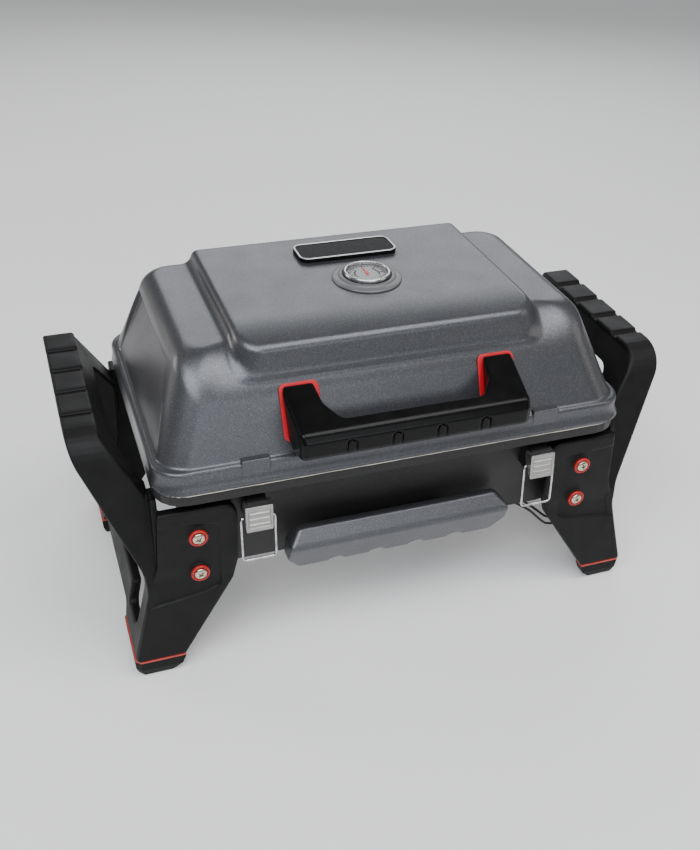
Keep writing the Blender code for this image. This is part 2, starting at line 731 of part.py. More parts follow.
# ---- lid -----------------------------------------------------------------------------------------
def lid_sections(inset):
    """Plan outlines of the lid from its lower edge to its flat top. A positive inset gives its inner face."""
    rim = [(RIM_LOW_Z, RIM_HALF_X, RIM_FRONT_Y, RIM_REAR_Y, RIM_CORNER),
           (RIM_TOP_Z, RIM_HALF_X, RIM_FRONT_Y, RIM_REAR_Y, RIM_CORNER)]
    body = [
        (0.2375, LID_FOOT_HALF_X, LID_FOOT_FRONT_Y, LID_FOOT_REAR_Y, 0.0280),
        (0.2960, 0.2120, 0.1180, 0.1130, 0.0290),
        (0.3060, 0.2080, 0.1120, 0.1110, 0.0290),
        (0.3150, 0.2040, 0.1035, 0.1085, 0.0280),
        (0.3200, 0.2000, 0.0955, 0.1060, 0.0270),
        (LID_TOP_Z, 0.1930, 0.0800, 0.1010, 0.0240),
    ]
    sections = []
    for z, half_x, front, rear, radius in (rim + body):
        drop = inset if z > RIM_TOP_Z else 0.0
        sections.append((offset_outline(half_x - inset, front - inset, rear - inset, radius - inset),
                         z - drop))
    return sections


def panel_outline(inset):
    """The raised panel seen from the side: flat on top, bending down to its front step."""
    points = [(0.1080, 0.3000), (0.1040, PANEL_TOP_Z), (-0.0550, PANEL_TOP_Z), (-0.0800, 0.3322),
              (-0.1000, 0.3240),
              (-0.1120, 0.3060), (-0.1000, 0.3000)]
    if inset:
        points = [(y * (1 - inset * 10), z - inset) for y, z in points]
    return round_corners(points, [0, 0.004, 0.02, 0.02, 0.003, 0, 0], 3)


def make_lid():
    shell = loft("lid_shell", lid_sections(0.0))
    panel = prism("lid_panel", panel_outline(0.0), "YZ", -PANEL_HALF_X, PANEL_HALF_X)
    bevel(panel, 0.004, 2, 60)
    wall = 0.0030
    inner_sections = lid_sections(wall)
    inner_sections[0] = (inner_sections[0][0], RIM_LOW_Z - 0.01)
    inner = loft("lid_inner", inner_sections)
    inner_panel = prism("lid_panel_inner", panel_outline(wall), "YZ", -PANEL_HALF_X + wall,
                        PANEL_HALF_X - wall)
    join(shell, panel)
    join(inner, inner_panel)
    cut(shell, inner)
    tabs = []
    for side in (-1, 1):
        middle = side * LATCH_X
        tabs.append(prism("catch_tab", round_corners(
            [(middle - 0.0135, -0.1512), (middle + 0.0135, -0.1512), (middle + 0.0135, -0.1425),
             (middle - 0.0135, -0.1425)],
            [0.002, 0.002, 0, 0], 2), "XY", RIM_TOP_Z - 0.004, RIM_TOP_Z + 0.0040))
    join(shell, *tabs)
    gauge_hole = cylinder("gauge_hole", (GAUGE_X, GAUGE_Y, 0.333), "Z", 0.0060, 0.030, sides=20)
    cut(shell, gauge_hole)
    clean(shell)
    finish(shell, "lid_paint")
    return place_origin(shell, (0.0, HINGE_Y, HINGE_Z))


def front_face_y(z):
    """The lid's front face, which leans back as it rises."""
    return -LID_FOOT_FRONT_Y + (z - 0.2375) * (LID_FOOT_FRONT_Y - 0.1180) / (0.2960 - 0.2375)


def make_lid_handle():
    """Two feet on the lid's front face and a bar across them, with four grooves in its front."""
    gasket = 0.0016
    foot_top, foot_low = 0.2950, 0.2490
    back_top = front_face_y(foot_top) - gasket - 2 * GAP
    back_low = front_face_y(foot_low) - gasket - 2 * GAP
    section = [(back_top, foot_top), (-0.1750, 0.2740), (-0.1800, 0.2660), (-0.1790, 0.2480),
               (-0.1560, 0.2440),
               (back_low, foot_low)]
    body = prism("lid_handle", round_corners(section, [0.001, 0.006, 0.004, 0.006, 0.006, 0.002], 3), "YZ",
                 -0.1160, 0.1160)
    plan = [(-0.1120, -0.1900), (0.1120, -0.1900), (0.1165, -0.1000), (-0.1165, -0.1000)]
    outer = prism("handle_outer", round_corners(plan, [0.016, 0.016, 0, 0], 4), "XY", 0.2300, 0.3100)
    keep_common(body, outer)
    inside = [(0.0690, -0.1620), (0.0820, -0.1440), (0.0860, -0.1100), (0.0860, -0.0900)]
    inside += [(-x, y) for x, y in reversed(inside)]
    radii = [0.010, 0.016, 0, 0, 0, 0, 0.016, 0.010]
    inner = prism("handle_inner", round_corners(inside, radii, 4), "XY", 0.2300, 0.3100)
    grooves = []
    for i in range(4):
        x = (i - 1.5) * 0.0437
        grooves.append(prism("bar_groove", round_corners(
            [(x - 0.0055, 0.2400), (x + 0.0055, 0.2400), (x + 0.0055, 0.2650), (x - 0.0055, 0.2650)],
            [0, 0, 0.005, 0.005], 4), "XZ", -0.1850, -0.1770))
    cut(body, inner, *grooves)
    clean(body)
    finish(body, "frame_plastic")
    place_origin(body, (0.0, HINGE_Y, HINGE_Z))

    seat = [(front_face_y(z) - GAP, z) for z in (0.2470, 0.2955)]
    back = [(y - gasket, z) for y, z in reversed(seat)]
    for name, side in (("left", -1), ("right", 1)):
        low, high = sorted((side * 0.0795, side * 0.1175))
        pad = prism("handle_gasket_" + name, seat + back, "YZ", low, high)
        finish(pad, "gasket_rubber")
        place_origin(pad, (0.0, HINGE_Y, HINGE_Z))


def make_badge():
    layers = ((0.0, GAP), (0.0, 0.0035), (0.0015, 0.0048))
    badge = loft("badge_plate", [
        (rounded_rectangle(0.0530 - inset, 0.0195 - inset, 0.0100 - inset, 5, (BADGE_X, BADGE_Y)),
         PANEL_TOP_Z + height)
        for inset, height in layers
    ])
    finish(badge, "black_plastic")
    return place_origin(badge, (0.0, HINGE_Y, HINGE_Z))


def make_gauge():
    """The lid thermometer: a conical flange with a ring, a dial, a pointer on its spindle, and a lens."""
    base = PANEL_TOP_Z + GAP
    housing = turned("gauge_housing", [
        (0.0, base + 0.0035), (0.0205, base + 0.0035), (0.0210, base + 0.0080), (0.0240, base + 0.0080),
        (0.0242, base + 0.0045), (0.0275, base + 0.0040), (0.0350, base + 0.0012), (0.0350, base),
        (0.0055, base),
        (0.0055, base - 0.0250), (0.0, base - 0.0250),
    ], (GAUGE_X, GAUGE_Y, 0.0))
    finish(housing, "chrome")
    dial = turned("gauge_dial", [
        (0.0, base + 0.0043), (0.0200, base + 0.0043), (0.0200, base + 0.0035 + GAP),
        (0.0, base + 0.0035 + GAP),
    ], (GAUGE_X, GAUGE_Y, 0.0))
    finish(dial, "dial_grey")
    needle_z = base + 0.0046
    blade = [(-0.0009, -0.0040), (0.0009, -0.0040), (0.0009, 0.0110), (0.0, 0.0150), (-0.0009, 0.0110)]
    needle = prism("gauge_needle", [(GAUGE_X + x, GAUGE_Y + y) for x, y in blade], "XY", needle_z,
                   needle_z + 0.0006)
    hub = cylinder("needle_hub", (GAUGE_X, GAUGE_Y, needle_z + 0.0005), "Z", 0.0020, 0.0010, sides=16)
    join(needle, hub)
    finish(needle, "red_plastic")
    place_origin(needle, (GAUGE_X, GAUGE_Y, needle_z))
    lens = turned("gauge_lens", [
        (0.0, base + 0.0076), (0.0202, base + 0.0076), (0.0202, base + 0.0062), (0.0, base + 0.0062),
    ], (GAUGE_X, GAUGE_Y, 0.0))
    finish(lens, "glass")
    for piece in (housing, dial, lens):
        place_origin(piece, (0.0, HINGE_Y, HINGE_Z))


# ---- lid hinges ----------------------------------------------------------------------------------
def make_hinge(side, name):
    """Two ears on the firebox rim, an arm from the lid between them, and the pin through all three."""
    middle = side * HINGE_X
    barrel = 0.0080
    pin_radius, play = 0.0025, 0.0001
    rim_back = RIM_REAR_Y - 0.0005 + GAP
    bracket = box("hinge_bracket_" + name, (middle - 0.0230, rim_back, 0.2020),
                  (middle + 0.0230, rim_back + 0.0030, 0.2120))
    ears = []
    for edge in (-1, 1):
        low, high = sorted((middle + edge * 0.0120, middle + edge * 0.0180))
        ear = [(rim_back + 0.0010, 0.2020), (HINGE_Y, 0.2050)] + arc((HINGE_Y, HINGE_Z), barrel, -90, 90, 8)
        ear += [(rim_back + 0.0140, 0.2160), (rim_back + 0.0010, 0.2115)]
        ears.append(prism("hinge_ear", ear, "YZ", low, high))
    join(bracket, *ears)
    bore = cylinder("hinge_bore", (middle, HINGE_Y, HINGE_Z), "X", pin_radius + play, 0.0600, sides=24)
    cut(bracket, bore)
    clean(bracket)
    finish(bracket, "firebox_paint")

    lid_back = RIM_REAR_Y + GAP
    arm = box("hinge_arm_" + name, (middle - 0.0115, lid_back, 0.2180),
              (middle + 0.0115, lid_back + 0.0030, 0.2340))
    knuckle = [(lid_back + 0.0010, 0.2330), (lid_back + 0.0010, 0.2190)]
    knuckle += [(HINGE_Y - 0.0078, 0.2160)] + arc((HINGE_Y, HINGE_Z), 0.0076, 180, 420, 14)
    join(arm, prism("hinge_knuckle", knuckle, "YZ", middle - 0.0114, middle + 0.0114))
    bore = cylinder("arm_bore", (middle, HINGE_Y, HINGE_Z), "X", pin_radius + play, 0.0600, sides=24)
    cut(arm, bore)
    clean(arm)
    finish(arm, "firebox_paint")
    place_origin(arm, (0.0, HINGE_Y, HINGE_Z))

    pin = cylinder("hinge_pin_" + name, (middle, HINGE_Y, HINGE_Z), "X", pin_radius, 0.0400, sides=24)
    heads = [cylinder("pin_head", (middle + edge * 0.0200, HINGE_Y, HINGE_Z), "X", 0.0042, 0.0024, sides=20)
             for edge in (-1, 1)]
    join(pin, *heads)
    finish(pin, "bright_steel")


# ---- gas valve and igniter -----------------------------------------------------------------------
def make_valve():
    """The valve and regulator: its cylinder socket to the right and its knob to the front."""
    body = cylinder("gas_regulator", (0.2520, VALVE_Y, VALVE_Z), "X", 0.0200, 0.0320, sides=32)
    stem = cylinder("valve_nozzle", (0.2270, VALVE_Y, VALVE_Z), "X", 0.0060, 0.0300, sides=20)
    socket = cylinder("cylinder_socket", (0.2790, VALVE_Y, VALVE_Z), "X", 0.0165, 0.0260, sides=32)
    boss = cylinder("knob_boss", (0.2520, -0.0260, VALVE_Z), "Y", 0.0100, 0.0220, sides=24)
    spindle = cylinder("knob_spindle", (0.2520, -0.0440, VALVE_Z), "Y", 0.0030, 0.0200, sides=16)
    join(body, stem, socket, boss, spindle)
    thread = cylinder("socket_thread", (0.2880, VALVE_Y, VALVE_Z), "X", 0.0125, 0.0260, sides=32)
    jet = cylinder("valve_jet", (0.2250, VALVE_Y, VALVE_Z), "X", 0.0015, 0.0400, sides=12)
    cut(body, thread, jet)
    clean(body)
    finish(body, "brass")
    knob = cylinder("control_knob", (0.2520, -0.0470, VALVE_Z), "Y", 0.0190, 0.0180, sides=36)
    knob_bore = cylinder("knob_bore", (0.2520, -0.0440, VALVE_Z), "Y", 0.0031, 0.0204, sides=16)
    flutes = []
    for i in range(12):
        angle = 2 * math.pi * i / 12
        x, z = 0.2520 + 0.0205 * math.cos(angle), VALVE_Z + 0.0205 * math.sin(angle)
        flutes.append(cylinder("knob_flute", (x, -0.0500, z), "Y", 0.0032, 0.0240, sides=10))
    cut(knob, knob_bore, *flutes)
    pointer = box("knob_pointer", (0.2505, -0.0572, VALVE_Z + 0.0040), (0.2535, -0.0555, VALVE_Z + 0.0160))
    join(knob, pointer)
    clean(knob)
    finish(knob, "black_plastic")
    place_origin(knob, (0.2520, -0.0470, VALVE_Z))


def make_igniter():
    """A push-button igniter on the firebox's right wall, with its lead to the electrode."""
    where_y, where_z = IGNITER_Y, IGNITER_Z
    wall_x = firebox_wall(where_z)[0]
    body = cylinder("igniter_body", (wall_x + 0.0140, where_y, where_z), "X", 0.0110, 0.0220, sides=28)
    hollow = cylinder("igniter_hollow", (wall_x + 0.0240, where_y, where_z), "X", 0.0080, 0.0300, sides=28)
    cut(body, hollow)
    finish(body, "black_plastic")
    button = cylinder("igniter_button", (wall_x + 0.0245, where_y, where_z), "X", 0.0077, 0.0130, sides=28)
    bevel(button, 0.0010, 2, 50)
    finish(button, "red_plastic")
    place_origin(button, (wall_x + 0.0245, where_y, where_z))


def smooth_route(points, spacing):
    """A smooth curve through a route's points, read off at about an even spacing."""
    route = [Vector(p) for p in points]
    route = [2 * route[0] - route[1], *route, 2 * route[-1] - route[-2]]
    smooth = []
    for before, start, end, after in zip(route, route[1:], route[2:], route[3:]):
        count = max(1, round((end - start).length / spacing))
        for i in range(count):
            t = i / count
            bend, twist = 2 * before - 5 * start + 4 * end - after, 3 * start - before - 3 * end + after
            smooth.append(0.5 * (2 * start + (end - before) * t + bend * t * t + twist * t ** 3))
    smooth.append(route[-2])
    return smooth


def make_leads():
    """The igniter's two leads: one to the spark plug, one to the firebox."""
    end_z = IGNITER_Z - 0.0114
    spark = [
        (0.2312, IGNITER_Y, end_z), (0.2312, -0.0860, 0.1150), (0.2295, -0.0900, 0.0880),
        (0.2230, -0.0970, 0.0660),
        (0.2140, -0.1030, 0.0545), (0.2040, -0.1075, 0.0510), (0.1947, -0.1095, 0.0555),
        (0.1843, -0.1100, 0.0655),
        (0.1714, -0.1095, 0.0790), (0.1580, -0.1040, 0.0870), (*LEAD_PORT, 0.0930), (*LEAD_PORT, 0.1010),
        (0.1440, -0.0900, 0.1100), (0.1300, -0.0800, 0.1155), (0.1000, -0.0650, 0.1200),
        (0.0740, -0.0560, 0.1240),
        (0.0620, -0.0490, 0.1265), (0.0600, -0.0425, 0.1270),
    ]
    earth = [
        (0.2222, IGNITER_Y, end_z), (0.2222, -0.0858, 0.1170), (0.2210, -0.0890, 0.0920),
        (0.2170, -0.0950, 0.0730),
        (0.2100, -0.1010, 0.0620), (0.2020, -0.1060, 0.0590), (0.1931, -0.1080, 0.0650),
        (0.1786, -0.1070, 0.0785),
        (0.1680, -0.0990, 0.0855), (0.1622, -0.0915, 0.0905), (0.1620, -0.0900, 0.0940),
        (0.1620, -0.0900, FIREBOX_LOW_Z - GAP),
    ]
    for name, route in (("igniter_lead", spark), ("earth_lead", earth)):
        finish(tube(name, smooth_route(route, 0.0075), LEAD_RADIUS), "lead_rubber")


def centre_on_origin():
    """Hangs every piece on one empty, which carries the grill to its place about the origin."""
    middle = bpy.data.objects.new("grill_middle", None)
    middle.location = (0.0, CENTRING_Y, 0.0)
    PARTS.objects.link(middle)
    for obj in PARTS.objects:
        if obj is not middle:
            obj.parent = middle


def main():
    make_firebox()
    right = make_side_frame_right()
    finish(mirrored("side_frame_left", right, "X"), "frame_plastic")
    make_feet()
    make_screws()
    make_emitter_plate()
    make_cooking_grate()
    make_burner()
    make_grease_tray()
    make_tray_handle()
    make_lid()
    make_lid_handle()
    make_badge()
    make_gauge()
    for side, name in ((-1, "left"), (1, "right")):
        make_latch(side, name)
        make_hinge(side, name)
    make_valve()
    make_igniter()
    make_leads()
    centre_on_origin()


clear_scene()
PARTS = make_collection(COLLECTION)
CUTTERS = make_collection("cutters")
main()
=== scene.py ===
"""Looks of the portable tabletop grill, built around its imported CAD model.

Metres, +Z up. Cast and moulded pieces are written as signed distance fields, in coordinates whose
y = 0 is the middle of the side frames. A surface net meshes them, and its points are drawn onto the
exact surface.
"""

import math

import bmesh
import bpy
import numpy as np
from mathutils import Matrix, Vector


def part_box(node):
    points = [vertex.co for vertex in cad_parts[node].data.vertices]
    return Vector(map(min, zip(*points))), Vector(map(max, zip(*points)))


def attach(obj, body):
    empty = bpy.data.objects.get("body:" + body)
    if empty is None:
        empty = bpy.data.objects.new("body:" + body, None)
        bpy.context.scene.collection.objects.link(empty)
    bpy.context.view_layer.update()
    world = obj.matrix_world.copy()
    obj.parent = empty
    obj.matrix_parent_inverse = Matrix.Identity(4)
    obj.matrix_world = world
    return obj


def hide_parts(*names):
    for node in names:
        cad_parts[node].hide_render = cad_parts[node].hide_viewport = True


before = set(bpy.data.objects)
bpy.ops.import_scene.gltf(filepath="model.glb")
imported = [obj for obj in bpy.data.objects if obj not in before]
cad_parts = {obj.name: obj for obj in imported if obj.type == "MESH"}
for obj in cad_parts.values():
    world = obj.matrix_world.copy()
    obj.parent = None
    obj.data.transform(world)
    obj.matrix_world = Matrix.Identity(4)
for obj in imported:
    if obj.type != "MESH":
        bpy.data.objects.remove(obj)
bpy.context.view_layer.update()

# ---- driving dimensions, from the imported CAD model where it has them ---------------------------
MIDDLE_Y = sum(corner[1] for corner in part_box("side_frame_left")) / 2   # middle of the side frames
LID_LOW, LID_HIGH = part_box("lid_shell")
RIM_HALF_X = LID_HIGH[0]
RIM_FRONT_Y = MIDDLE_Y - LID_LOW[1]
RIM_REAR_Y = LID_HIGH[1] - MIDDLE_Y
RIM_LOW_Z, PANEL_TOP_Z = LID_LOW[2], LID_HIGH[2]
RIM_TOP_Z = 0.2365
LID_TOP_Z = 0.3225
RIM_CORNER = 0.0290          # plan corner radius of the lid's rim
LID_WALL, RIM_WALL = 0.0030, 0.0032
FRONT_FACE = (0.1450, 0.2375), (0.1180, 0.2960)     # (distance from the middle, height) twice
REAR_FACE = (0.1260, 0.2375), (0.1085, 0.3150)
SIDE_FACE = (0.2325, 0.2375), (0.2070, 0.3060)
FRAME_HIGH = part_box("side_frame_right")[1]
HANDLE_TOP_Z, HANDLE_HALF_X = FRAME_HIGH[2], FRAME_HIGH[0]
PLATE_FACE_Y = 0.1450        # front face of a leg's plate, from the middle
LATCH_X, LATCH_HALF_X = 0.1467, 0.0130
TAB_HALF_X, TAB_PROUD = 0.0135, 0.0008
GAP = 0.0003                 # play between pieces that touch


# ---- signed distances ----------------------------------------------------------------------------
def round_max(a, b, radius):
    """The overlap of two bodies, with the edge between them rounded."""
    corner = np.hypot(np.maximum(a + radius, 0), np.maximum(b + radius, 0))
    return np.minimum(np.maximum(a, b), -radius) + corner


def round_min(a, b, radius):
    """The union of two bodies, with a fillet between them."""
    return -round_max(-a, -b, radius)


def line_side(u, v, start, end):
    """Signed distance to the line through two points, positive on its right hand."""
    du, dv = end[0] - start[0], end[1] - start[1]
    length = math.hypot(du, dv)
    return ((u - start[0]) * dv - (v - start[1]) * du) / length


def rounded_box(u, v, half_u, half_v, radius):
    """A rectangle about the origin with round corners."""
    a, b = np.abs(u) - half_u + radius, np.abs(v) - half_v + radius
    return np.minimum(np.maximum(a, b), 0) + np.hypot(np.maximum(a, 0), np.maximum(b, 0)) - radius


def between(w, low, high):
    """The slab between two planes."""
    return np.abs(w - (low + high) / 2) - (high - low) / 2


def polygon(u, v, points):
    """Signed distance to a closed outline, negative inside."""
    u, v = np.broadcast_arrays(u, v)
    nearest = np.full(u.shape, np.inf)
    inside = np.zeros(u.shape, bool)
    for (ax, ay), (bx, by) in zip(points, points[1:] + points[:1]):
        ex, ey = bx - ax, by - ay
        share = np.clip(((u - ax) * ex + (v - ay) * ey) / (ex * ex + ey * ey), 0, 1)
        nearest = np.minimum(nearest, (u - ax - ex * share) ** 2 + (v - ay - ey * share) ** 2)
        if ey:
            inside ^= ((ay <= v) != (by <= v)) & (u < ax + (v - ay) * ex / ey)
    return np.where(inside, -1, 1) * np.sqrt(nearest)


def arc(centre, radius, start_deg, end_deg, steps=6):
    """Points along an arc, both ends included."""
    turns = [math.radians(start_deg + (end_deg - start_deg) * i / steps) for i in range(steps + 1)]
    return [(centre[0] + radius * math.cos(t), centre[1] + radius * math.sin(t)) for t in turns]


def round_corners(points, radii, steps=6):
    """A closed outline with its corners rounded: one radius for each point, 0 for a sharp one."""
    rounded = []
    for i, radius in enumerate(radii):
        here = Vector(points[i])
        if radius <= 0:
            rounded.append(tuple(here))
            continue
        back = (Vector(points[i - 1]) - here).normalized()
        ahead = (Vector(points[(i + 1) % len(points)]) - here).normalized()
        half = back.angle(ahead) / 2
        centre = here + (back + ahead).normalized() * (radius / math.sin(half))
        first = here + back * (radius / math.tan(half)) - centre
        last = here + ahead * (radius / math.tan(half)) - centre
        start = math.atan2(first.y, first.x)
        sweep = (math.atan2(last.y, last.x) - start + math.pi) % (2 * math.pi) - math.pi
        rounded += arc(centre, radius, math.degrees(start), math.degrees(start + sweep), steps)
    return rounded


CORNERS = [(i, j, k) for i in (0, 1) for j in (0, 1) for k in (0, 1)]
EDGES = [(a, b) for a in range(8) for b in range(a + 1, 8)
         if sum(abs(p - q) for p, q in zip(CORNERS[a], CORNERS[b])) == 1]


def surface_net(field, low, high, cell):
    """Vertices and quads of a field's zero surface inside a box, drawn onto the exact surface."""
    axes = [np.arange(l - 2 * cell, h + 3 * cell, cell) for l, h in zip(low, high)]
    size = [len(a) for a in axes]
    grid = np.meshgrid(*axes, indexing="ij", sparse=True)
    d = np.ascontiguousarray(np.broadcast_to(field(*grid), size))
    inside = d < 0
    count = sum(inside[i:size[0] - 1 + i, j:size[1] - 1 + j, k:size[2] - 1 + k].astype(np.int8)
                for i, j, k in CORNERS)
    cells = np.argwhere((count > 0) & (count < 8))
    value = np.stack([d[cells[:, 0] + i, cells[:, 1] + j, cells[:, 2] + k]
                      for i, j, k in CORNERS], 1)
    total, crossings = np.zeros((len(cells), 3)), np.zeros(len(cells))
    for a, b in EDGES:
        crossed = (value[:, a] < 0) != (value[:, b] < 0)
        share = np.where(crossed, value[:, a] / np.where(crossed, value[:, a] - value[:, b], 1), 0)
        step = np.subtract(CORNERS[b], CORNERS[a])
        total += crossed[:, None] * (np.array(CORNERS[a]) + share[:, None] * step)
        crossings += crossed
    origin = np.array([a[0] for a in axes])
    points = (cells + total / crossings[:, None]) * cell + origin
    index = np.full([n - 1 for n in size], -1, np.int64)
    index[tuple(cells.T)] = np.arange(len(cells))
    quads = []
    for axis in range(3):
        along = np.eye(3, dtype=int)[axis]
        u, v = np.eye(3, dtype=int)[(axis + 1) % 3], np.eye(3, dtype=int)[(axis + 2) % 3]
        first = inside[tuple(slice(0, n - s) for n, s in zip(size, along))]
        second = inside[tuple(slice(s, n) for n, s in zip(size, along))]
        at = np.argwhere(first != second)
        at = at[(at[:, (axis + 1) % 3] > 0) & (at[:, (axis + 2) % 3] > 0)]
        around = [index[tuple((at - offset).T)] for offset in (u + v, v, 0 * u, u)]
        quad = np.stack(around, 1)
        forward = first[tuple(at.T)]
        quads.append(np.where(forward[:, None], quad, quad[:, ::-1]))
    return draw_on(field, points, cell), np.concatenate(quads)


def draw_on(field, points, cell, rounds=4):
    """Moves points along the field's slope onto its zero surface, by less than a cell in all."""
    start, tiny = points.copy(), cell * 0.02

    def slope_along(axis):
        """The field's slope in one direction."""
        return (field(*(points + tiny * axis).T) - field(*(points - tiny * axis).T)) / (2 * tiny)

    for _ in range(rounds):
        d = field(*points.T)
        slope = np.stack([slope_along(axis) for axis in np.eye(3)], 1)
        points = points - slope * (d / np.maximum((slope ** 2).sum(1), 0.25))[:, None]
        points = start + np.clip(points - start, -cell, cell)
    return points


def mesh_of(name, points, faces):
    """A smooth-shaded mesh from arrays of points and of faces with equal numbers of corners."""
    mesh = bpy.data.meshes.new(name)
    mesh.vertices.add(len(points))
    mesh.vertices.foreach_set("co", np.asarray(points, np.float32).ravel())
    mesh.loops.add(faces.size)
    mesh.loops.foreach_set("vertex_index", faces.ravel().astype(np.int32))
    mesh.polygons.add(len(faces))
    starts = np.arange(0, faces.size, faces.shape[1], dtype=np.int32)
    mesh.polygons.foreach_set("loop_start", starts)
    mesh.update(calc_edges=True)
    mesh.validate()
    mesh.shade_smooth()
    return mesh


# ---- pieces --------------------------------------------------------------------------------------
def new_object(name, mesh):
    """An object at the origin, linked to the scene."""
    obj = bpy.data.objects.new(name, mesh)
    bpy.context.scene.collection.objects.link(obj)
    return obj


def settle(obj, body, slot, material, *nodes):
    """Gives a finished piece its material and body, and hides the CAD nodes that it stands for. slot
    is not used.
    """
    obj.data.materials.clear()
    obj.data.materials.append(material)
    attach(obj, body)
    if nodes:
        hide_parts(*nodes)


def carve(name, field, low, high, cell):
    """A piece from a field. low, high and the field are in side-frame coordinates."""
    cell = cell * 1
    points, quads = surface_net(field, low, high, cell)
    points[:, 1] += MIDDLE_Y
    return new_object(name, mesh_of(name, points, quads))


def mirror_copy(name, obj):
    """The same piece on the other side of the grill."""
    mesh = obj.data.copy()
    points = np.empty(len(mesh.vertices) * 3, np.float32)
    mesh.vertices.foreach_get("co", points)
    points = points.reshape(-1, 3)
    points[:, 0] = -points[:, 0]
    mesh.vertices.foreach_set("co", points.ravel())
    mesh.flip_normals()
    mesh.update()
    return new_object(name, mesh)


# ---- materials -----------------------------------------------------------------------------------
class Shader:
    """A Principled material with helpers that add procedural detail in object space."""

    def __init__(self, name, colour, roughness, metallic=0.0, **sockets):
        """sockets are further inputs of the Principled node, with _ for each space."""
        self.material = bpy.data.materials.new(name)
        self.material.use_nodes = True
        self.tree = self.material.node_tree
        self.shader = self.tree.nodes["Principled BSDF"]
        self.shader.inputs["Base Color"].default_value = (*colour, 1)
        self.shader.inputs["Roughness"].default_value = roughness
        self.shader.inputs["Metallic"].default_value = metallic
        for socket, value in sockets.items():
            self.shader.inputs[socket.replace("_", " ")].default_value = value
        self.colour, self.roughness = colour, roughness
        self.place = self.add("ShaderNodeTexCoord").outputs["Object"]
        self.height = None

    def add(self, kind, **settings):
        """A new node with its settings."""
        node = self.tree.nodes.new(kind)
        for name, value in settings.items():
            setattr(node, name, value)
        return node

    def link(self, source, target):
        """Joins an output to an input."""
        self.tree.links.new(source, target)

    def noise(self, scale, detail=2.0, roughness=0.5):
        """Soft noise, with scale in waves per metre."""
        node = self.add("ShaderNodeTexNoise")
        node.inputs["Scale"].default_value = scale
        node.inputs["Detail"].default_value = detail
        node.inputs["Roughness"].default_value = roughness
        self.link(self.place, node.inputs["Vector"])
        return node.outputs["Fac"]

    def cells(self, scale):
        """A random value for each cell, with scale in cells per metre."""
        node = self.add("ShaderNodeTexVoronoi")
        node.inputs["Scale"].default_value = scale
        self.link(self.place, node.inputs["Vector"])
        return node.outputs["Color"]

    def ramp(self, value, low, high, out_low=0.0, out_high=1.0):
        """Maps low..high to out_low..out_high, and holds the ends."""
        node = self.add("ShaderNodeMapRange")
        limits = (("From Min", low), ("From Max", high), ("To Min", out_low), ("To Max", out_high))
        for socket, number in limits:
            node.inputs[socket].default_value = number
        self.link(value, node.inputs["Value"])
        return node.outputs["Result"]

    def blend(self, factor, base, top):
        """A colour mix. base and top are colours or sockets."""
        node = self.add("ShaderNodeMix", data_type="RGBA")
        self.link(factor, node.inputs["Factor"])
        for socket, value in ((node.inputs[6], base), (node.inputs[7], top)):
            if isinstance(value, tuple):
                socket.default_value = (*value, 1)
            else:
                self.link(value, socket)
        return node.outputs[2]

    def height_above_floor(self):
        """The height of each point at rest."""
        node = self.add("ShaderNodeSeparateXYZ")
        self.link(self.place, node.inputs[0])
        return node.outputs["Z"]

    def set_colour(self, value):
        """Drives the base colour."""
        self.link(value, self.shader.inputs["Base Color"])

    def vary_roughness(self, scale, spread, detail=3.0):
        """Spreads the roughness about its own value."""
        value = self.ramp(self.noise(scale, detail), 0.3, 0.7,
                          self.roughness - spread, self.roughness + spread)
        self.link(value, self.shader.inputs["Roughness"])

    def bump(self, value, distance, strength):
        """Adds a bump over those already there."""
        node = self.add("ShaderNodeBump")
        node.inputs["Distance"].default_value = distance
        node.inputs["Strength"].default_value = strength
        self.link(value, node.inputs["Height"])
        if self.height:
            self.link(self.height, node.inputs["Normal"])
        self.height = node.outputs["Normal"]
        self.link(self.height, self.shader.inputs["Normal"])


def cast_paint():
    """Dark grey metallic paint over a cast skin: fine pale flakes, slightly pebbled."""
    made = Shader("cast_paint", (0.080, 0.082, 0.089), 0.36, 0.70,
                  Coat_Weight=0.10, Coat_Roughness=0.28)
    tone = made.blend(made.ramp(made.noise(9, 3), 0.3, 0.7),
                      (0.076, 0.078, 0.084), (0.084, 0.086, 0.093))
    flakes = made.ramp(made.cells(2100), 0.0, 1.0)
    bright = made.blend(made.ramp(flakes, 0.70, 1.0), tone, (0.20, 0.205, 0.225))
    made.set_colour(made.blend(made.ramp(flakes, 0.28, 0.0), bright, (0.042, 0.043, 0.047)))
    made.vary_roughness(30, 0.03)
    made.bump(made.noise(1400, 2), 0.00008, 0.25)
    return made.material


BARE_FROM_Z, WEAR_DEPTH = 0.2118, 0.0012


def black_cast():
    """Satin black paint. The top of the firebox rim is bare metal where the lid closes on it."""
    made = Shader("black_cast", (0.011, 0.011, 0.0115), 0.42, 0.0, Specular_IOR_Level=0.30)
    tone = made.blend(made.ramp(made.noise(700, 2), 0.55, 0.75),
                      (0.015, 0.0145, 0.0145), (0.028, 0.0275, 0.0275))
    worn = made.add("ShaderNodeMath", operation="MULTIPLY_ADD")
    made.link(made.noise(60, 3), worn.inputs[0])
    worn.inputs[1].default_value = WEAR_DEPTH
    made.link(made.height_above_floor(), worn.inputs[2])
    bare = made.ramp(worn.outputs[0], BARE_FROM_Z, BARE_FROM_Z + 0.0003)
    made.set_colour(made.blend(bare, tone, (0.62, 0.58, 0.51)))
    made.link(bare, made.shader.inputs["Metallic"])
    made.vary_roughness(25, 0.07)
    made.bump(made.noise(800, 3), 0.0002, 0.3)
    return made.material


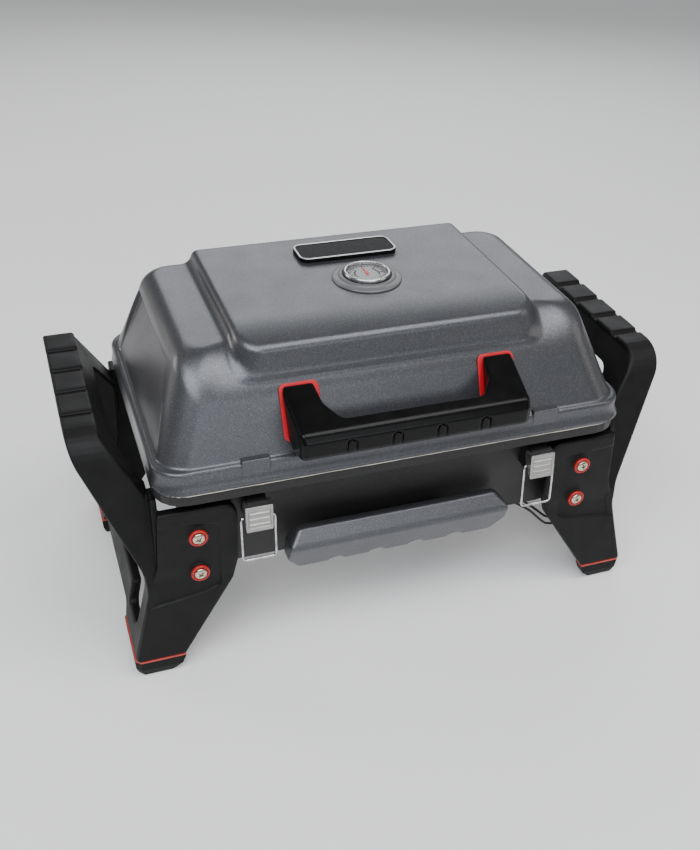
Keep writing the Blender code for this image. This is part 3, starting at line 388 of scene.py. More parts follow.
def moulded_black():
    """Black plastic with a fine grain, faintly uneven in tone."""
    made = Shader("moulded_black", (0.006, 0.006, 0.0065), 0.50, 0.0, Specular_IOR_Level=0.20)
    made.set_colour(made.blend(made.ramp(made.noise(60, 4), 0.35, 0.75),
                               (0.0040, 0.0039, 0.0040), (0.0078, 0.0075, 0.0076)))
    made.vary_roughness(40, 0.06)
    made.bump(made.noise(1400, 2), 0.00012, 0.35)
    return made.material


def plain_grain(name, colour, roughness, metallic=0.0, scale=900, depth=0.0001, spread=0.04,
                **sockets):
    """One colour with a fine grain: paint, plastic, rubber or a plain satin metal."""
    made = Shader(name, colour, roughness, metallic, **sockets)
    darker = tuple(c * 0.82 for c in colour)
    made.set_colour(made.blend(made.ramp(made.noise(80, 4), 0.3, 0.7), darker, colour))
    made.vary_roughness(60, spread)
    made.bump(made.noise(scale, 3), depth, 0.4)
    return made.material


def worn_steel(name="worn_steel", colour=(0.36, 0.35, 0.335), roughness=0.40):
    """Metal with darker patches."""
    made = Shader(name, colour, roughness, 1.0)
    dark = tuple(c * 0.62 for c in colour)
    made.set_colour(made.blend(made.ramp(made.noise(140, 5, 0.65), 0.42, 0.66), colour, dark))
    made.vary_roughness(160, 0.10)
    made.bump(made.noise(1800, 2), 0.00006, 0.3)
    return made.material


LID_PAINT = cast_paint()
BLACK_CAST = black_cast()
BLACK_COAT = plain_grain("black_coat", (0.013, 0.013, 0.013), 0.40, spread=0.06,
                         Specular_IOR_Level=0.35)
BLACK_PLASTIC = moulded_black()
GLOSS_BLACK = plain_grain("gloss_black", (0.010, 0.010, 0.011), 0.22, scale=500, depth=0.00004,
                          spread=0.03)
RED_PLASTIC = plain_grain("red_plastic", (0.42, 0.010, 0.006), 0.36, spread=0.06)
RED_STRIPE = plain_grain("red_stripe", (0.50, 0.060, 0.040), 0.45)
RED_RUBBER = plain_grain("red_rubber", (0.56, 0.004, 0.014), 0.45)
FOOT_RUBBER = plain_grain("foot_rubber", (0.006, 0.006, 0.006), 0.62, scale=1200, depth=0.00015,
                          Specular_IOR_Level=0.2)
STEEL = worn_steel()
CHROME = worn_steel("bright_wire", (0.66, 0.66, 0.67), 0.14)
RING_STEEL = plain_grain("ring_steel", (0.62, 0.62, 0.63), 0.26, 1.0, scale=600, depth=0.00002)
STAINLESS = worn_steel("stainless_sheet", (0.55, 0.55, 0.55), 0.34)
ZINC = worn_steel("zinc_sheet", (0.42, 0.43, 0.44), 0.42)
ENAMEL = plain_grain("enamel", (0.012, 0.012, 0.013), 0.25, scale=300, depth=0.0003)
BRASS = worn_steel("brass", (0.60, 0.44, 0.18), 0.30)
CERAMIC = plain_grain("ceramic", (0.78, 0.76, 0.70), 0.30, spread=0.05)
DIAL = plain_grain("dial_print", (0.30, 0.30, 0.30), 0.45, 0.1, spread=0.05)
INK = plain_grain("dial_ink", (0.012, 0.012, 0.012), 0.5, scale=500)
NEEDLE = plain_grain("needle_paint", (0.62, 0.03, 0.02), 0.4, scale=500)
LEAD_RUBBER = plain_grain("lead_rubber", (0.014, 0.014, 0.014), 0.40, scale=700)
GLOSS_PLASTIC = plain_grain("handle_plastic", (0.003, 0.003, 0.003), 0.22, scale=1100,
                            depth=0.00008, spread=0.05, Specular_IOR_Level=0.16)
LEVER_STEEL = plain_grain("lever_steel", (0.42, 0.41, 0.395), 0.40, 1.0, scale=1500,
                          depth=0.00006)
SCREW_STEEL = worn_steel("screw_steel", (0.66, 0.60, 0.48), 0.22)


def badge_finish():
    """Black in the well, bright metal on the raised border: split by height above the lid."""
    made = Shader("badge_finish", (0.004, 0.004, 0.004), 0.42, Specular_IOR_Level=0.06)
    border = made.ramp(made.height_above_floor(), PANEL_TOP_Z + 0.0045, PANEL_TOP_Z + 0.0048)
    tone = made.blend(made.ramp(made.noise(300, 3), 0.35, 0.7),
                      (0.004, 0.004, 0.004), (0.007, 0.007, 0.007))
    made.set_colour(made.blend(border, tone, (0.66, 0.66, 0.66)))
    made.link(border, made.shader.inputs["Metallic"])
    made.vary_roughness(200, 0.04)
    made.bump(made.noise(900, 2), 0.00004, 0.3)
    return made.material


BADGE_MATERIAL = badge_finish()


def clear_glass():
    """Thin clear glass: nearly all of what is behind it shows."""
    made = Shader("gauge_glass", (0.30, 0.30, 0.31), 0.05, 0.0, IOR=1.45, Specular_IOR_Level=0.25)
    made.shader.inputs["Alpha"].default_value = 0.05
    made.vary_roughness(20, 0.015)
    return made.material


GLASS = clear_glass()
FLANGE_PAINT = plain_grain("flange_paint", (0.16, 0.16, 0.165), 0.42, 0.4, scale=1100)


# ---- lid -----------------------------------------------------------------------------------------
# Each of these faces leans: two points of its line, as (distance from the middle, height).
PANEL_STEP = (0.1118, 0.3080), (0.1073, 0.3284)
PANEL_SIDE = (0.1520, 0.3200), (0.1475, 0.3350)
PANEL_REAR = (0.1075, 0.3150), (0.1040, 0.3350)
SCOOP_FLOOR = (0.2322, 0.2380), (0.2042, 0.2960)
SCOOP_REAR = (0.0870, 0.2400), (0.0950, 0.3040)
SCOOP_FRONT = (0.1180, 0.2400), (0.0640, 0.3000)
PANEL_CURVE_Y, PANEL_CURVE_RADIUS = -0.0600, 0.1670     # where the panel's top starts to curve down


def smooth_step(value, start, end):
    """0 up to start, 1 from end on, and a smooth rise between them."""
    share = np.clip((value - start) / (end - start), 0, 1)
    return share * share * (3 - 2 * share)


def lid_body(x, y, z, inset=0.0):
    """The lid without its rim: leaning faces, with a wide bend over the front one."""
    front = line_side(-y, z, *FRONT_FACE) + inset
    rear = line_side(y, z, *REAR_FACE) + inset
    side = line_side(np.abs(x), z, *SIDE_FACE) + inset
    wall = round_max(np.maximum(front, rear), side, 0.0270)
    bend = 0.0125 + 0.0275 * smooth_step(front - np.maximum(side, rear), -0.0300, 0.0400)
    return round_max(wall, z - LID_TOP_Z + inset, bend)


def lid_panel(x, y, z, inset=0.0):
    """The raised panel: its top curves down to a steep step, and its sides lean a little."""
    curved = np.hypot(y - PANEL_CURVE_Y, z - PANEL_TOP_Z + PANEL_CURVE_RADIUS) - PANEL_CURVE_RADIUS
    top = np.where(y < PANEL_CURVE_Y, curved, z - PANEL_TOP_Z) + inset
    step = line_side(-y, z, *PANEL_STEP) + inset
    side = line_side(np.abs(x), z, *PANEL_SIDE) + inset
    rear = line_side(y, z, *PANEL_REAR) + inset
    wall = round_max(round_max(side, step, 0.0260), rear, 0.0060)
    return round_max(round_max(wall, top, 0.0050), 0.3020 - z, 0.0010)


def lid_scoop(x, y, z):
    """The shallow recess in each side: no depth at the rim, most under the shoulder."""
    floor = line_side(np.abs(x), z, *SCOOP_FLOOR)
    rear = line_side(y, z, *SCOOP_REAR)
    front = line_side(-y, z, *SCOOP_FRONT)
    walls = round_max(round_max(rear, front, 0.006), z - 0.3030, 0.004)
    return round_max(walls, -floor, 0.002)


def lid_field(x, y, z):
    """The whole lid: body, panel and rim, less the scoops and the hollow inside."""
    front_y = RIM_FRONT_Y - TAB_PROUD
    depth, middle = (front_y + RIM_REAR_Y) / 2, (RIM_REAR_Y - front_y) / 2
    rim_plan = rounded_box(x, y - middle, RIM_HALF_X, depth, RIM_CORNER)
    rim = round_max(rim_plan, z - RIM_TOP_Z, 0.0040)
    body = round_min(lid_body(x, y, z), lid_panel(x, y, z), 0.0070)
    body = round_max(body, -lid_scoop(x, y, z), 0.0030)
    outer = round_min(body, rim, 0.0020)
    hollow_rim = round_max(rim_plan + RIM_WALL, z - RIM_TOP_Z + LID_WALL, 0.0030)
    hollow = round_min(lid_body(x, y, z, LID_WALL), lid_panel(x, y, z, LID_WALL), 0.0080)
    hollow = round_max(np.minimum(hollow, hollow_rim), LID_WALL - lid_scoop(x, y, z), 0.0020)
    return round_max(round_max(outer, -hollow, 0.0008), RIM_LOW_Z - z, 0.0008)


TAB_TOP_Z, TAB_REAR_Y = RIM_TOP_Z + 0.0035, -0.1432


def catch_tab_field(x, y, z):
    """The flat tab on the rim that a latch's wire closes over."""
    tab = round_max(np.abs(x - LATCH_X) - TAB_HALF_X, between(z, RIM_LOW_Z, TAB_TOP_Z), 0.0012)
    return round_max(tab, between(y, -RIM_FRONT_Y, TAB_REAR_Y), 0.0009)


def make_lid():
    """The cast lid and its two catch tabs."""
    low, high = (-RIM_HALF_X, -RIM_FRONT_Y, RIM_LOW_Z), (RIM_HALF_X, RIM_REAR_Y, PANEL_TOP_Z)
    shell = carve("lid_cast", lid_field, low, high, 0.0018)
    settle(shell, "lid", "lid_paint", LID_PAINT, "lid_shell")
    low, high = (0.1330, -RIM_FRONT_Y, RIM_LOW_Z), (0.1605, -0.1430, 0.2402)
    tab = carve("catch_tab_right", catch_tab_field, low, high, 0.0008)
    settle(mirror_copy("catch_tab_left", tab), "lid", "lid_paint", LID_PAINT)
    settle(tab, "lid", "lid_paint", LID_PAINT)


# ---- turned pieces -------------------------------------------------------------------------------
AXES = {"Y": (1, 2, 0), "Z": (2, 0, 1)}


def turned(name, profile, centre, axis, steps, sharp_deg):
    """A closed solid of revolution about an axis through centre, from (radius, height) points."""
    along, first, second = AXES[axis]
    work = bmesh.new()
    rings = []
    for radius, height in profile:
        ring = []
        for i in range(1 if radius < 1e-7 else steps):
            turn = 2 * math.pi * i / steps
            place = list(centre)
            place[first] += radius * math.cos(turn)
            place[second] += radius * math.sin(turn)
            place[along] += height
            ring.append(work.verts.new(place))
        rings.append(ring)
    for lower, upper in zip(rings, rings[1:] + rings[:1]):
        for i in range(steps):
            corners = [lower[i % len(lower)], lower[(i + 1) % len(lower)],
                       upper[(i + 1) % len(upper)], upper[i % len(upper)]]
            corners = list(dict.fromkeys(corners))
            if len(corners) > 2:
                work.faces.new(corners)
    bmesh.ops.recalc_face_normals(work, faces=work.faces)
    mesh = bpy.data.meshes.new(name)
    work.to_mesh(mesh)
    work.free()
    mesh.shade_smooth()
    mesh.set_sharp_from_angle(angle=math.radians(sharp_deg))
    return new_object(name, mesh)


# ---- side frames ---------------------------------------------------------------------------------
WAIST_X, WAIST_Z = 0.2500, 0.1090                   # where the outer face is narrowest
SPREAD_BELOW, SPREAD_ABOVE = 0.2500, 0.4350         # how much it widens for each metre from there
WALL_BELOW, WALL_ABOVE = (0.27725, 0.0), (0.3086, 0.24371)      # (x, z) on the outer face
INNER_X = 0.2405
INNER_RISE = (INNER_X, 0.1905), (0.2762, 0.2505)    # (x, z) twice, as in the next
INNER_FLARE = (0.26725, 0.0), (0.2400, WAIST_Z)
LEG_LOW_Z = 0.0210
SCREW_X, SCREW_HEIGHTS = 0.2025, (0.1159, 0.1588)


def outer_x(z):
    """Half width to the outer face of a side frame at a height."""
    if z < WAIST_Z:
        return WAIST_X + (WAIST_Z - z) * SPREAD_BELOW
    return min(HANDLE_HALF_X, WAIST_X + (z - WAIST_Z) * SPREAD_ABOVE)


HANDLE_SIDE = round_corners([
    (-0.1500, LEG_LOW_Z), (-0.1440, WAIST_Z), (-0.0985, HANDLE_TOP_Z),
    (0.1075, HANDLE_TOP_Z), (0.1440, WAIST_Z), (0.1500, LEG_LOW_Z),
    (0.0816, LEG_LOW_Z), (0.0730, 0.0330), (-0.0730, 0.0330), (-0.0816, LEG_LOW_Z),
], [0, 0.040, 0.036, 0.008, 0.040, 0, 0, 0.012, 0.012, 0], 8)
HANDLE_OPENING = round_corners([
    (-0.1220, WAIST_Z), (-0.0690, 0.2270), (0.0770, 0.2270), (0.1220, WAIST_Z), (0.1250, 0.0420),
    (0.0860, 0.0420), (0.0820, 0.0650), (-0.0820, 0.0650), (-0.0860, 0.0420), (-0.1250, 0.0420),
], [0.060, 0.016, 0.010, 0.060, 0.012, 0.008, 0.006, 0.006, 0.008, 0.012], 6)
LEG_PLATE = round_corners([
    (0.1640, 0.1905), (0.1640, 0.1250), (0.1700, 0.1010), (0.2225, LEG_LOW_Z),
    (outer_x(LEG_LOW_Z) - 0.001, LEG_LOW_Z), (0.2490, WAIST_Z), (0.2420, 0.1300), (0.2385, 0.1905),
], [0.014, 0.020, 0.020, 0, 0, 0, 0, 0.002], 6)
PLATE_FIELD = round_corners([
    (0.1825, 0.1710), (0.1825, 0.0960), (0.1980, 0.0900), (0.2700, 0.0800), (0.2700, 0.1795),
], [0.006, 0.008, 0.010, 0, 0], 5)
GROOVE_PITCH, GROOVE_MIDDLE_Y = 0.0410, 0.0067      # finger grooves over the carry handle
CORNER_WEB = [(0.1350, 0.1150), (0.1350, 0.1905), (0.1325, 0.2000), (0.1110, 0.2000),
              (0.1300, 0.1400)]
WEB_X, WEB_HALF_THICK = 0.2395, 0.0030
LEAN_BELOW_Z, LEG_LEAN = 0.1050, 0.0950             # a leg's plate leans out under this height
BOSS_RADIUS, HOLE_RADIUS, BOSS_HALF_DEEP = 0.0098, 0.0035, 0.0020


def side_frame_field(x, y, z):
    """The right side frame: the leaning wall with its carry handle, and the plate of each leg."""
    deep = np.abs(y)
    waist = (WAIST_X, WAIST_Z)
    outer = round_min(line_side(x, z, WALL_BELOW, waist), line_side(x, z, waist, WALL_ABOVE), 0.012)
    outer = round_max(outer, x - HANDLE_HALF_X, 0.008)
    rise = np.minimum(-line_side(x, z, *INNER_RISE), INNER_RISE[1][0] - x)
    flare = -line_side(x, z, *INNER_FLARE)
    inner = np.maximum(np.maximum(INNER_X - x, flare), rise)
    wall = round_max(np.maximum(outer, inner), polygon(y, z, HANDLE_SIDE), 0.0030)
    wall = round_max(wall, -polygon(y, z, HANDLE_OPENING), 0.0028)
    for i in range(4):
        along = y - (i - 1.5) * GROOVE_PITCH - GROOVE_MIDDLE_Y
        groove = rounded_box(along, z - HANDLE_TOP_Z, 0.0050, 0.0032, 0.0015)
        wall = round_max(wall, -groove, 0.0010)
    lean = np.maximum(0, LEAN_BELOW_Z - z) * LEG_LEAN
    front = deep - PLATE_FACE_Y - lean
    plate = round_max(np.maximum(front, 0.1340 - deep), polygon(x, z, LEG_PLATE), 0.0026)
    field = polygon(x, z, PLATE_FIELD)
    sunk = 0.0011 + 0.0012 * smooth_step(z, 0.1400, 0.0880)
    plate = round_max(plate, -np.maximum(field, -front - sunk), 0.0008)
    for height in SCREW_HEIGHTS:
        hole = np.hypot(x - SCREW_X, z - height)
        disc = np.abs(deep - PLATE_FACE_Y + BOSS_HALF_DEEP) - BOSS_HALF_DEEP
        boss = round_max(hole - BOSS_RADIUS, disc, 0.0008)
        plate = np.maximum(np.minimum(plate, boss), HOLE_RADIUS - hole)
    web = round_max(polygon(deep, z, CORNER_WEB), np.abs(x - WEB_X) - WEB_HALF_THICK, 0.0010)
    return np.maximum(np.minimum(np.minimum(wall, plate), web), LEG_LOW_Z - z)


def make_side_frames():
    """Both side frames, each one moulding."""
    low, high = (0.1640, -0.1540, LEG_LOW_Z), (HANDLE_HALF_X, 0.1540, HANDLE_TOP_Z)
    right = carve("side_frame_right_moulded", side_frame_field, low, high, 0.00135)
    left = mirror_copy("side_frame_left_moulded", right)
    settle(right, "grill", "frame_plastic", BLACK_PLASTIC, "side_frame_right")
    settle(left, "grill", "frame_plastic", BLACK_PLASTIC, "side_frame_left")


# ---- handles -------------------------------------------------------------------------------------
def front_face_y(z):
    """The lid's front face at a height."""
    (near, low), (far, high) = FRONT_FACE
    return -near + (z - low) * (near - far) / (high - low)


PAD_THICKNESS = 0.0022       # of the red pads, with the play on both sides
BAR_SECTION = round_corners([
    (front_face_y(0.2950) - PAD_THICKNESS, 0.2950), (-0.1750, 0.2740), (-0.1800, 0.2660),
    (-0.1790, 0.2480), (-0.1560, 0.2440), (front_face_y(0.2490) - PAD_THICKNESS, 0.2490),
], [0.001, 0.008, 0.006, 0.007, 0.008, 0.002], 6)
BAR_OUTER = round_corners([
    (-0.1165, -0.1000), (-0.1120, -0.1900), (0.1120, -0.1900), (0.1165, -0.1000),
], [0, 0.018, 0.018, 0], 8)
BAR_INNER = round_corners([
    (0.0690, -0.1620), (0.0820, -0.1440), (0.0860, -0.1100), (0.0860, -0.0900),
    (-0.0860, -0.0900), (-0.0860, -0.1100), (-0.0820, -0.1440), (-0.0690, -0.1620),
], [0.010, 0.016, 0, 0, 0, 0, 0.016, 0.010], 6)


ARCH_PITCH, ARCH_TOP_Z, ARCH_FLOOR_Y = 0.0437, 0.2655, -0.1774      # grooves in the bar's front


def lid_handle_field(x, y, z):
    """The bar on its two feet, with four arched grooves in its front."""
    bar = round_max(polygon(y, z, BAR_SECTION), polygon(x, y, BAR_OUTER), 0.0045)
    bar = round_max(bar, -polygon(x, y, BAR_INNER), 0.0032)
    for i in range(4):
        middle = (i - 1.5) * ARCH_PITCH
        arch = round_max(np.abs(x - middle) - 0.0055, z - ARCH_TOP_Z, 0.0052)
        groove = np.maximum(arch, -arch - 0.0020)
        bar = round_max(bar, -np.maximum(groove, y - ARCH_FLOOR_Y), 0.0006)
    return bar


TRAY_SECTION = round_corners([
    (-0.1358, 0.0950), (-0.1358, 0.1430), (-0.1447, 0.1455), (-0.1594, 0.1315), (-0.1430, 0.0950),
], [0, 0, 0.004, 0.006, 0.003], 5)
TRAY_FRONT = round_corners([
    (0.1030, 0.1470), (0.1160, 0.1330), (0.1175, 0.1130), (0.1040, 0.0940),
    (-0.1040, 0.0940), (-0.1175, 0.1130), (-0.1160, 0.1330), (-0.1030, 0.1470),
], [0.006, 0.010, 0.012, 0.010, 0.010, 0.012, 0.010, 0.006], 5)


NOTCH_PITCH, NOTCH_Z, NOTCH_RADIUS = 0.0430, 0.0900, 0.0100


def tray_handle_field(x, y, z):
    """The wedge across the front of the tray, with four finger notches under it."""
    bar = round_max(polygon(y, z, TRAY_SECTION), polygon(x, z, TRAY_FRONT), 0.0030)
    for i in range(4):
        notch = np.hypot(x - (i - 1.5) * NOTCH_PITCH, z - NOTCH_Z) - NOTCH_RADIUS
        bar = round_max(bar, -notch, 0.0022)
    return bar


PAD_X, PAD_Z, PAD_HALF_X, PAD_HALF_Z, PAD_CORNER = 0.0985, 0.27125, 0.0190, 0.02425, 0.0060
FRONT_LEAN = 0.9080          # cosine of the front face's lean


def gasket_field(x, y, z):
    """The red pad under each foot of the lid's handle, with round corners."""
    plan = rounded_box(np.abs(x) - PAD_X, z - PAD_Z, PAD_HALF_X, PAD_HALF_Z, PAD_CORNER)
    gap = (front_face_y(z) - y) * FRONT_LEAN
    return round_max(plan, np.abs(gap - 0.0010) - 0.0008, 0.0004)


def make_handles():
    """The lid's handle on its pads, and the tray's front."""
    low, high = (0.0790, -0.1450, 0.2465), (0.1180, -0.1160, 0.2960)
    right = carve("handle_pad_right", gasket_field, low, high, 0.0007)
    left = mirror_copy("handle_pad_left", right)
    settle(right, "lid", "gasket_rubber", RED_RUBBER, "handle_gasket_right")
    settle(left, "lid", "gasket_rubber", RED_RUBBER, "handle_gasket_left")
    low, high = (-0.1170, -0.1805, 0.2435), (0.1170, -0.1150, 0.2955)
    bar = carve("lid_handle_moulded", lid_handle_field, low, high, 0.0011)
    settle(bar, "lid", "frame_plastic", GLOSS_PLASTIC, "lid_handle")
    low, high = (-0.1180, -0.1600, 0.0945), (0.1180, -0.1355, 0.1460)
    bar = carve("tray_handle_cast", tray_handle_field, low, high, 0.0011)
    settle(bar, "tray", "lid_paint", LID_PAINT, "tray_handle")


# ---- screws --------------------------------------------------------------------------------------
HEAD_RADIUS, SHANK_RADIUS, CROSS_HALF_X = 0.0060, 0.0029, 0.0031


def screw_head_field(x, y, z):
    """A pan head seen along -y, with a cross recess. Its underside is at y = 0."""
    across = np.hypot(x, z)
    dome = np.sqrt(across ** 2 + (y - 0.0095) ** 2) - 0.0118
    head = round_max(round_max(across - HEAD_RADIUS, dome, 0.0008), y, 0.0002)
    shank = round_max(across - SHANK_RADIUS, np.abs(y - 0.0060) - 0.0066, 0.0004)
    a, b = np.abs(x), np.abs(z)
    depth = 0.0004 - y
    width = 0.00055 + 0.16 * depth
    cross = np.minimum(round_max(a - width, b - CROSS_HALF_X, 0.0003),
                       round_max(b - width, a - CROSS_HALF_X, 0.0003))
    return round_max(np.minimum(head, shank), -np.maximum(cross, -depth), 0.0002)


SCREW_LOW, SCREW_HIGH = (-0.0062, -0.0024, -0.0062), (0.0062, 0.0128, 0.0062)
HEAD_SEAT = 0.0026           # from the washer's back to the underside of the head
CUP_PROFILE = [(0.0033, 0.0), (0.0088, 0.0), (0.0092, 0.0006), (0.0092, 0.0020), (0.0086, 0.0028),
               (0.0076, 0.0030), (0.0068, 0.0026), (0.0064, 0.0018), (0.0033, 0.0018)]


def make_screw(label, points, quads, side, across, z):
    """One screw in its cup washer. side is the way its head faces along y, across its side in x."""
    face = PLATE_FACE_Y + GAP
    turn = 0.35 + 0.9 * (across + side * 2 + z * 90)
    c, s = math.cos(turn), math.sin(turn)
    place = np.stack([across * SCREW_X + c * points[:, 0] + s * points[:, 2],
                      MIDDLE_Y + side * (face + HEAD_SEAT - points[:, 1]),
                      z - s * points[:, 0] + c * points[:, 2]], 1)
    faces = quads if side < 0 else quads[:, ::-1]
    head = new_object("screw_" + label, mesh_of("screw_" + label, place, faces))
    settle(head, "grill", "bright_steel", SCREW_STEEL, "leg_screw_" + label)
    cup = [(r, side * (face + h)) for r, h in CUP_PROFILE]
    washer = turned("washer_" + label, cup, (across * SCREW_X, MIDDLE_Y, z), "Y", 48, 50)
    settle(washer, "grill", "red_plastic", RED_PLASTIC, "screw_washer_" + label)


def make_screws():
    """Two screws on each leg, each turned its own way."""
    cell = 0.00036
    points, quads = surface_net(screw_head_field, SCREW_LOW, SCREW_HIGH, cell)
    for y_name, side in (("front", -1), ("rear", 1)):
        for x_name, across in (("left", -1), ("right", 1)):
            for level, z in zip(("lower", "upper"), SCREW_HEIGHTS):
                make_screw(f"{y_name}_{x_name}_{level}", points, quads, side, across, z)


# ---- gauge and badge -----------------------------------------------------------------------------
GAUGE = (0.0060, MIDDLE_Y - 0.0090)
BADGE = (0.0050, 0.0570)


def flat_marks(name, outlines, low, high):
    """Thin raised prints: upright prisms over plan outlines."""
    work = bmesh.new()
    for outline in outlines:
        rings = [[work.verts.new((x, y, z)) for x, y in outline] for z in (low, high)]
        work.faces.new(rings[1])
        work.faces.new(rings[0][::-1])
        for i in range(len(outline)):
            j = (i + 1) % len(outline)
            work.faces.new((rings[0][i], rings[0][j], rings[1][j], rings[1][i]))
    bmesh.ops.recalc_face_normals(work, faces=work.faces)
    mesh = bpy.data.meshes.new(name)
    work.to_mesh(mesh)
    work.free()
    return new_object(name, mesh)


def radial_mark(turn_deg, near, far, half_width):
    """A tick on the dial."""
    c, s = math.cos(math.radians(turn_deg)), math.sin(math.radians(turn_deg))
    corners = [(near, -half_width), (far, -half_width), (far, half_width), (near, half_width)]
    return [(GAUGE[0] + c * r - s * w, GAUGE[1] + s * r + c * w) for r, w in corners]


def arc_mark(start_deg, end_deg, near, far, steps=20):
    """A band of the dial between two radii."""
    return arc(GAUGE, near, start_deg, end_deg, steps) + arc(GAUGE, far, end_deg, start_deg, steps)


FLANGE = [(0.0, 0.0033), (0.0207, 0.0033), (0.0207, 0.0040), (0.0250, 0.0040), (0.0254, 0.0046),
          (0.0262, 0.0046), (0.0290, 0.0034), (0.0293, 0.0030), (0.0299, 0.0031), (0.0336, 0.0018),
          (0.0346, 0.0014), (0.0350, 0.0008), (0.0350, 0.0), (0.0055, 0.0), (0.0055, -0.0250),
          (0.0, -0.0250)]
BRIGHT_RING = [(0.0209, 0.0041), (0.0209, 0.0074), (0.0212, 0.0078), (0.0218, 0.0080),
               (0.0227, 0.0078), (0.0233, 0.0071), (0.0235, 0.0058), (0.0235, 0.0041)]
RING_SEAT = [(0.0236, 0.0041), (0.0236, 0.0046), (0.0249, 0.0046), (0.0249, 0.0041)]
DIAL_TOP, PRINT_HEIGHT = 0.0043, 0.0002
TICKS, TICK_FROM_DEG, TICK_SWEEP_DEG = 25, 225, 270
TICK_TIP, TICK_BAND = 0.0182, 0.0188                # radii of the arc that joins the ticks
LONG_TICK = (0.0138, TICK_TIP, 0.0008)              # start, end, half width
SHORT_TICK = (0.0158, TICK_TIP, 0.00045)
ZONE_NEAR, ZONE_FAR = 0.0112, 0.0132


def make_gauge():
    """The lid's thermometer: flange, bright ring in its seat, ticks and bands on the CAD dial."""
    base = PANEL_TOP_Z + GAP

    def lathe(name, profile, sharp_deg):
        """A turned piece on the gauge's axis, with heights above the panel."""
        return turned(name, [(r, base + h) for r, h in profile], (*GAUGE, 0), "Z", 96, sharp_deg)

    def prints(name, outlines):
        """Ink on the dial."""
        marks = flat_marks(name, outlines, base + DIAL_TOP, base + DIAL_TOP + PRINT_HEIGHT)
        settle(marks, "lid", "dial_grey", INK)

    settle(lathe("gauge_flange", FLANGE, 50), "lid", "lid_paint", FLANGE_PAINT, "gauge_housing")
    settle(lathe("gauge_seat", RING_SEAT, 60), "lid", "black_plastic", BLACK_PLASTIC)
    settle(lathe("gauge_ring", BRIGHT_RING, 60), "lid", "chrome", RING_STEEL)
    ticks = []
    for i in range(TICKS):
        turn = TICK_FROM_DEG - i * TICK_SWEEP_DEG / (TICKS - 1)
        ticks.append(radial_mark(turn, *(SHORT_TICK if i % 4 else LONG_TICK)))
    last_deg = TICK_FROM_DEG - TICK_SWEEP_DEG
    ticks.append(arc_mark(TICK_FROM_DEG, last_deg, TICK_TIP, TICK_BAND, 60))
    prints("gauge_ticks", ticks)
    prints("gauge_warm_zone", [arc_mark(205, 135, ZONE_NEAR, ZONE_FAR)])
    prints("gauge_hot_zone", [arc_mark(45, -25, ZONE_NEAR, ZONE_FAR)])


BADGE_HALF_X, BADGE_HALF_Y, BADGE_CORNER = 0.0530, 0.0195, 0.0100
BADGE_HALF_THICK, BADGE_BORDER = 0.0024, 0.0022
BADGE_WELL = 0.0039          # floor of the well over the badge's back


def badge_field(x, y, z):
    """A plain plaque with a raised border."""
    base = PANEL_TOP_Z + GAP
    plan = rounded_box(x - BADGE[0], y - BADGE[1], BADGE_HALF_X, BADGE_HALF_Y, BADGE_CORNER)
    block = round_max(plan, np.abs(z - base - BADGE_HALF_THICK) - BADGE_HALF_THICK, 0.0012)
    well = round_max(plan + BADGE_BORDER, base + BADGE_WELL - z, 0.0003)
    return round_max(block, -well, 0.0005)


def make_badge():
    """The plaque on the lid, without a mark."""
    low = (BADGE[0] - 0.0535, BADGE[1] - 0.0200, PANEL_TOP_Z)
    high = (BADGE[0] + 0.0535, BADGE[1] + 0.0200, PANEL_TOP_Z + 0.0052)
    plate = carve("badge_moulded", badge_field, low, high, 0.0006)
    settle(plate, "lid", "black_plastic", BADGE_MATERIAL, "badge_plate")


# ---- latches -------------------------------------------------------------------------------------
CHEEK = round_corners([
    (-0.1580, 0.1915), (-0.1450, 0.1925), (-0.1450, 0.1850), (-0.1500, 0.1720), (-0.1604, 0.1665),
], [0.001, 0.003, 0.004, 0.004, 0.001], 5)
LEVER_FACE = (0.1607, 0.1650), (0.1580, 0.1918)     # (distance from the middle, height) twice
BAIL_RADIUS = 0.0012
RIB_LOW_Z, RIB_PITCH = 0.1722, 0.0058


def lever_field(x, y, z):
    """The right latch's lever: a pressed plate with a turned-over top, cheeks and three ribs."""
    across = np.abs(x - LATCH_X)
    face = line_side(-y, z, *LEVER_FACE)
    plate = np.maximum(np.maximum(face, -face - 0.0014), 0.1652 - z)
    ribs = 1.0
    for i in range(3):
        rod = np.hypot(face + 0.0007, z - RIB_LOW_Z - i * RIB_PITCH) - 0.0014
        ribs = np.minimum(ribs, np.maximum(rod, across - 0.0098))
    pocket = np.maximum(np.maximum(across - 0.0106, np.abs(z - 0.1780) - 0.0090), -face - 0.0006)
    plate = np.minimum(np.maximum(plate, -pocket), ribs)
    plate = round_max(round_max(plate, across - LATCH_HALF_X, 0.0010), z - LEVER_FACE[1][1], 0.0010)
    top = np.maximum(np.abs(z - 0.1911) - 0.0007, across - LATCH_HALF_X)
    top = np.maximum(top, between(y, -0.1580, -0.1480))
    cheek = np.maximum(polygon(y, z, CHEEK), np.abs(across - LATCH_HALF_X + 0.0008) - 0.0008)
    return round_min(plate, np.minimum(cheek, top), 0.0008)


def bail_path():
    """The wire's centre line for the right latch."""
    half, bend, low_z, (pivot_y, pivot_z) = 0.0164, 0.0040, 0.1290, (-0.1520, 0.1760)
    points = [(-0.0139, pivot_y, pivot_z), (-half + 0.0012, pivot_y, pivot_z),
              (-half + 0.0003, pivot_y - 0.0004, pivot_z - 0.0012),
              (-half, pivot_y - 0.0010, pivot_z - bend)]
    corner = arc((-half + bend, low_z + bend), bend, 180, 270, 8)
    points += [(x, pivot_y - 0.0045, z) for x, z in corner]
    return points + [(-x, y, z) for x, y, z in reversed(points)]


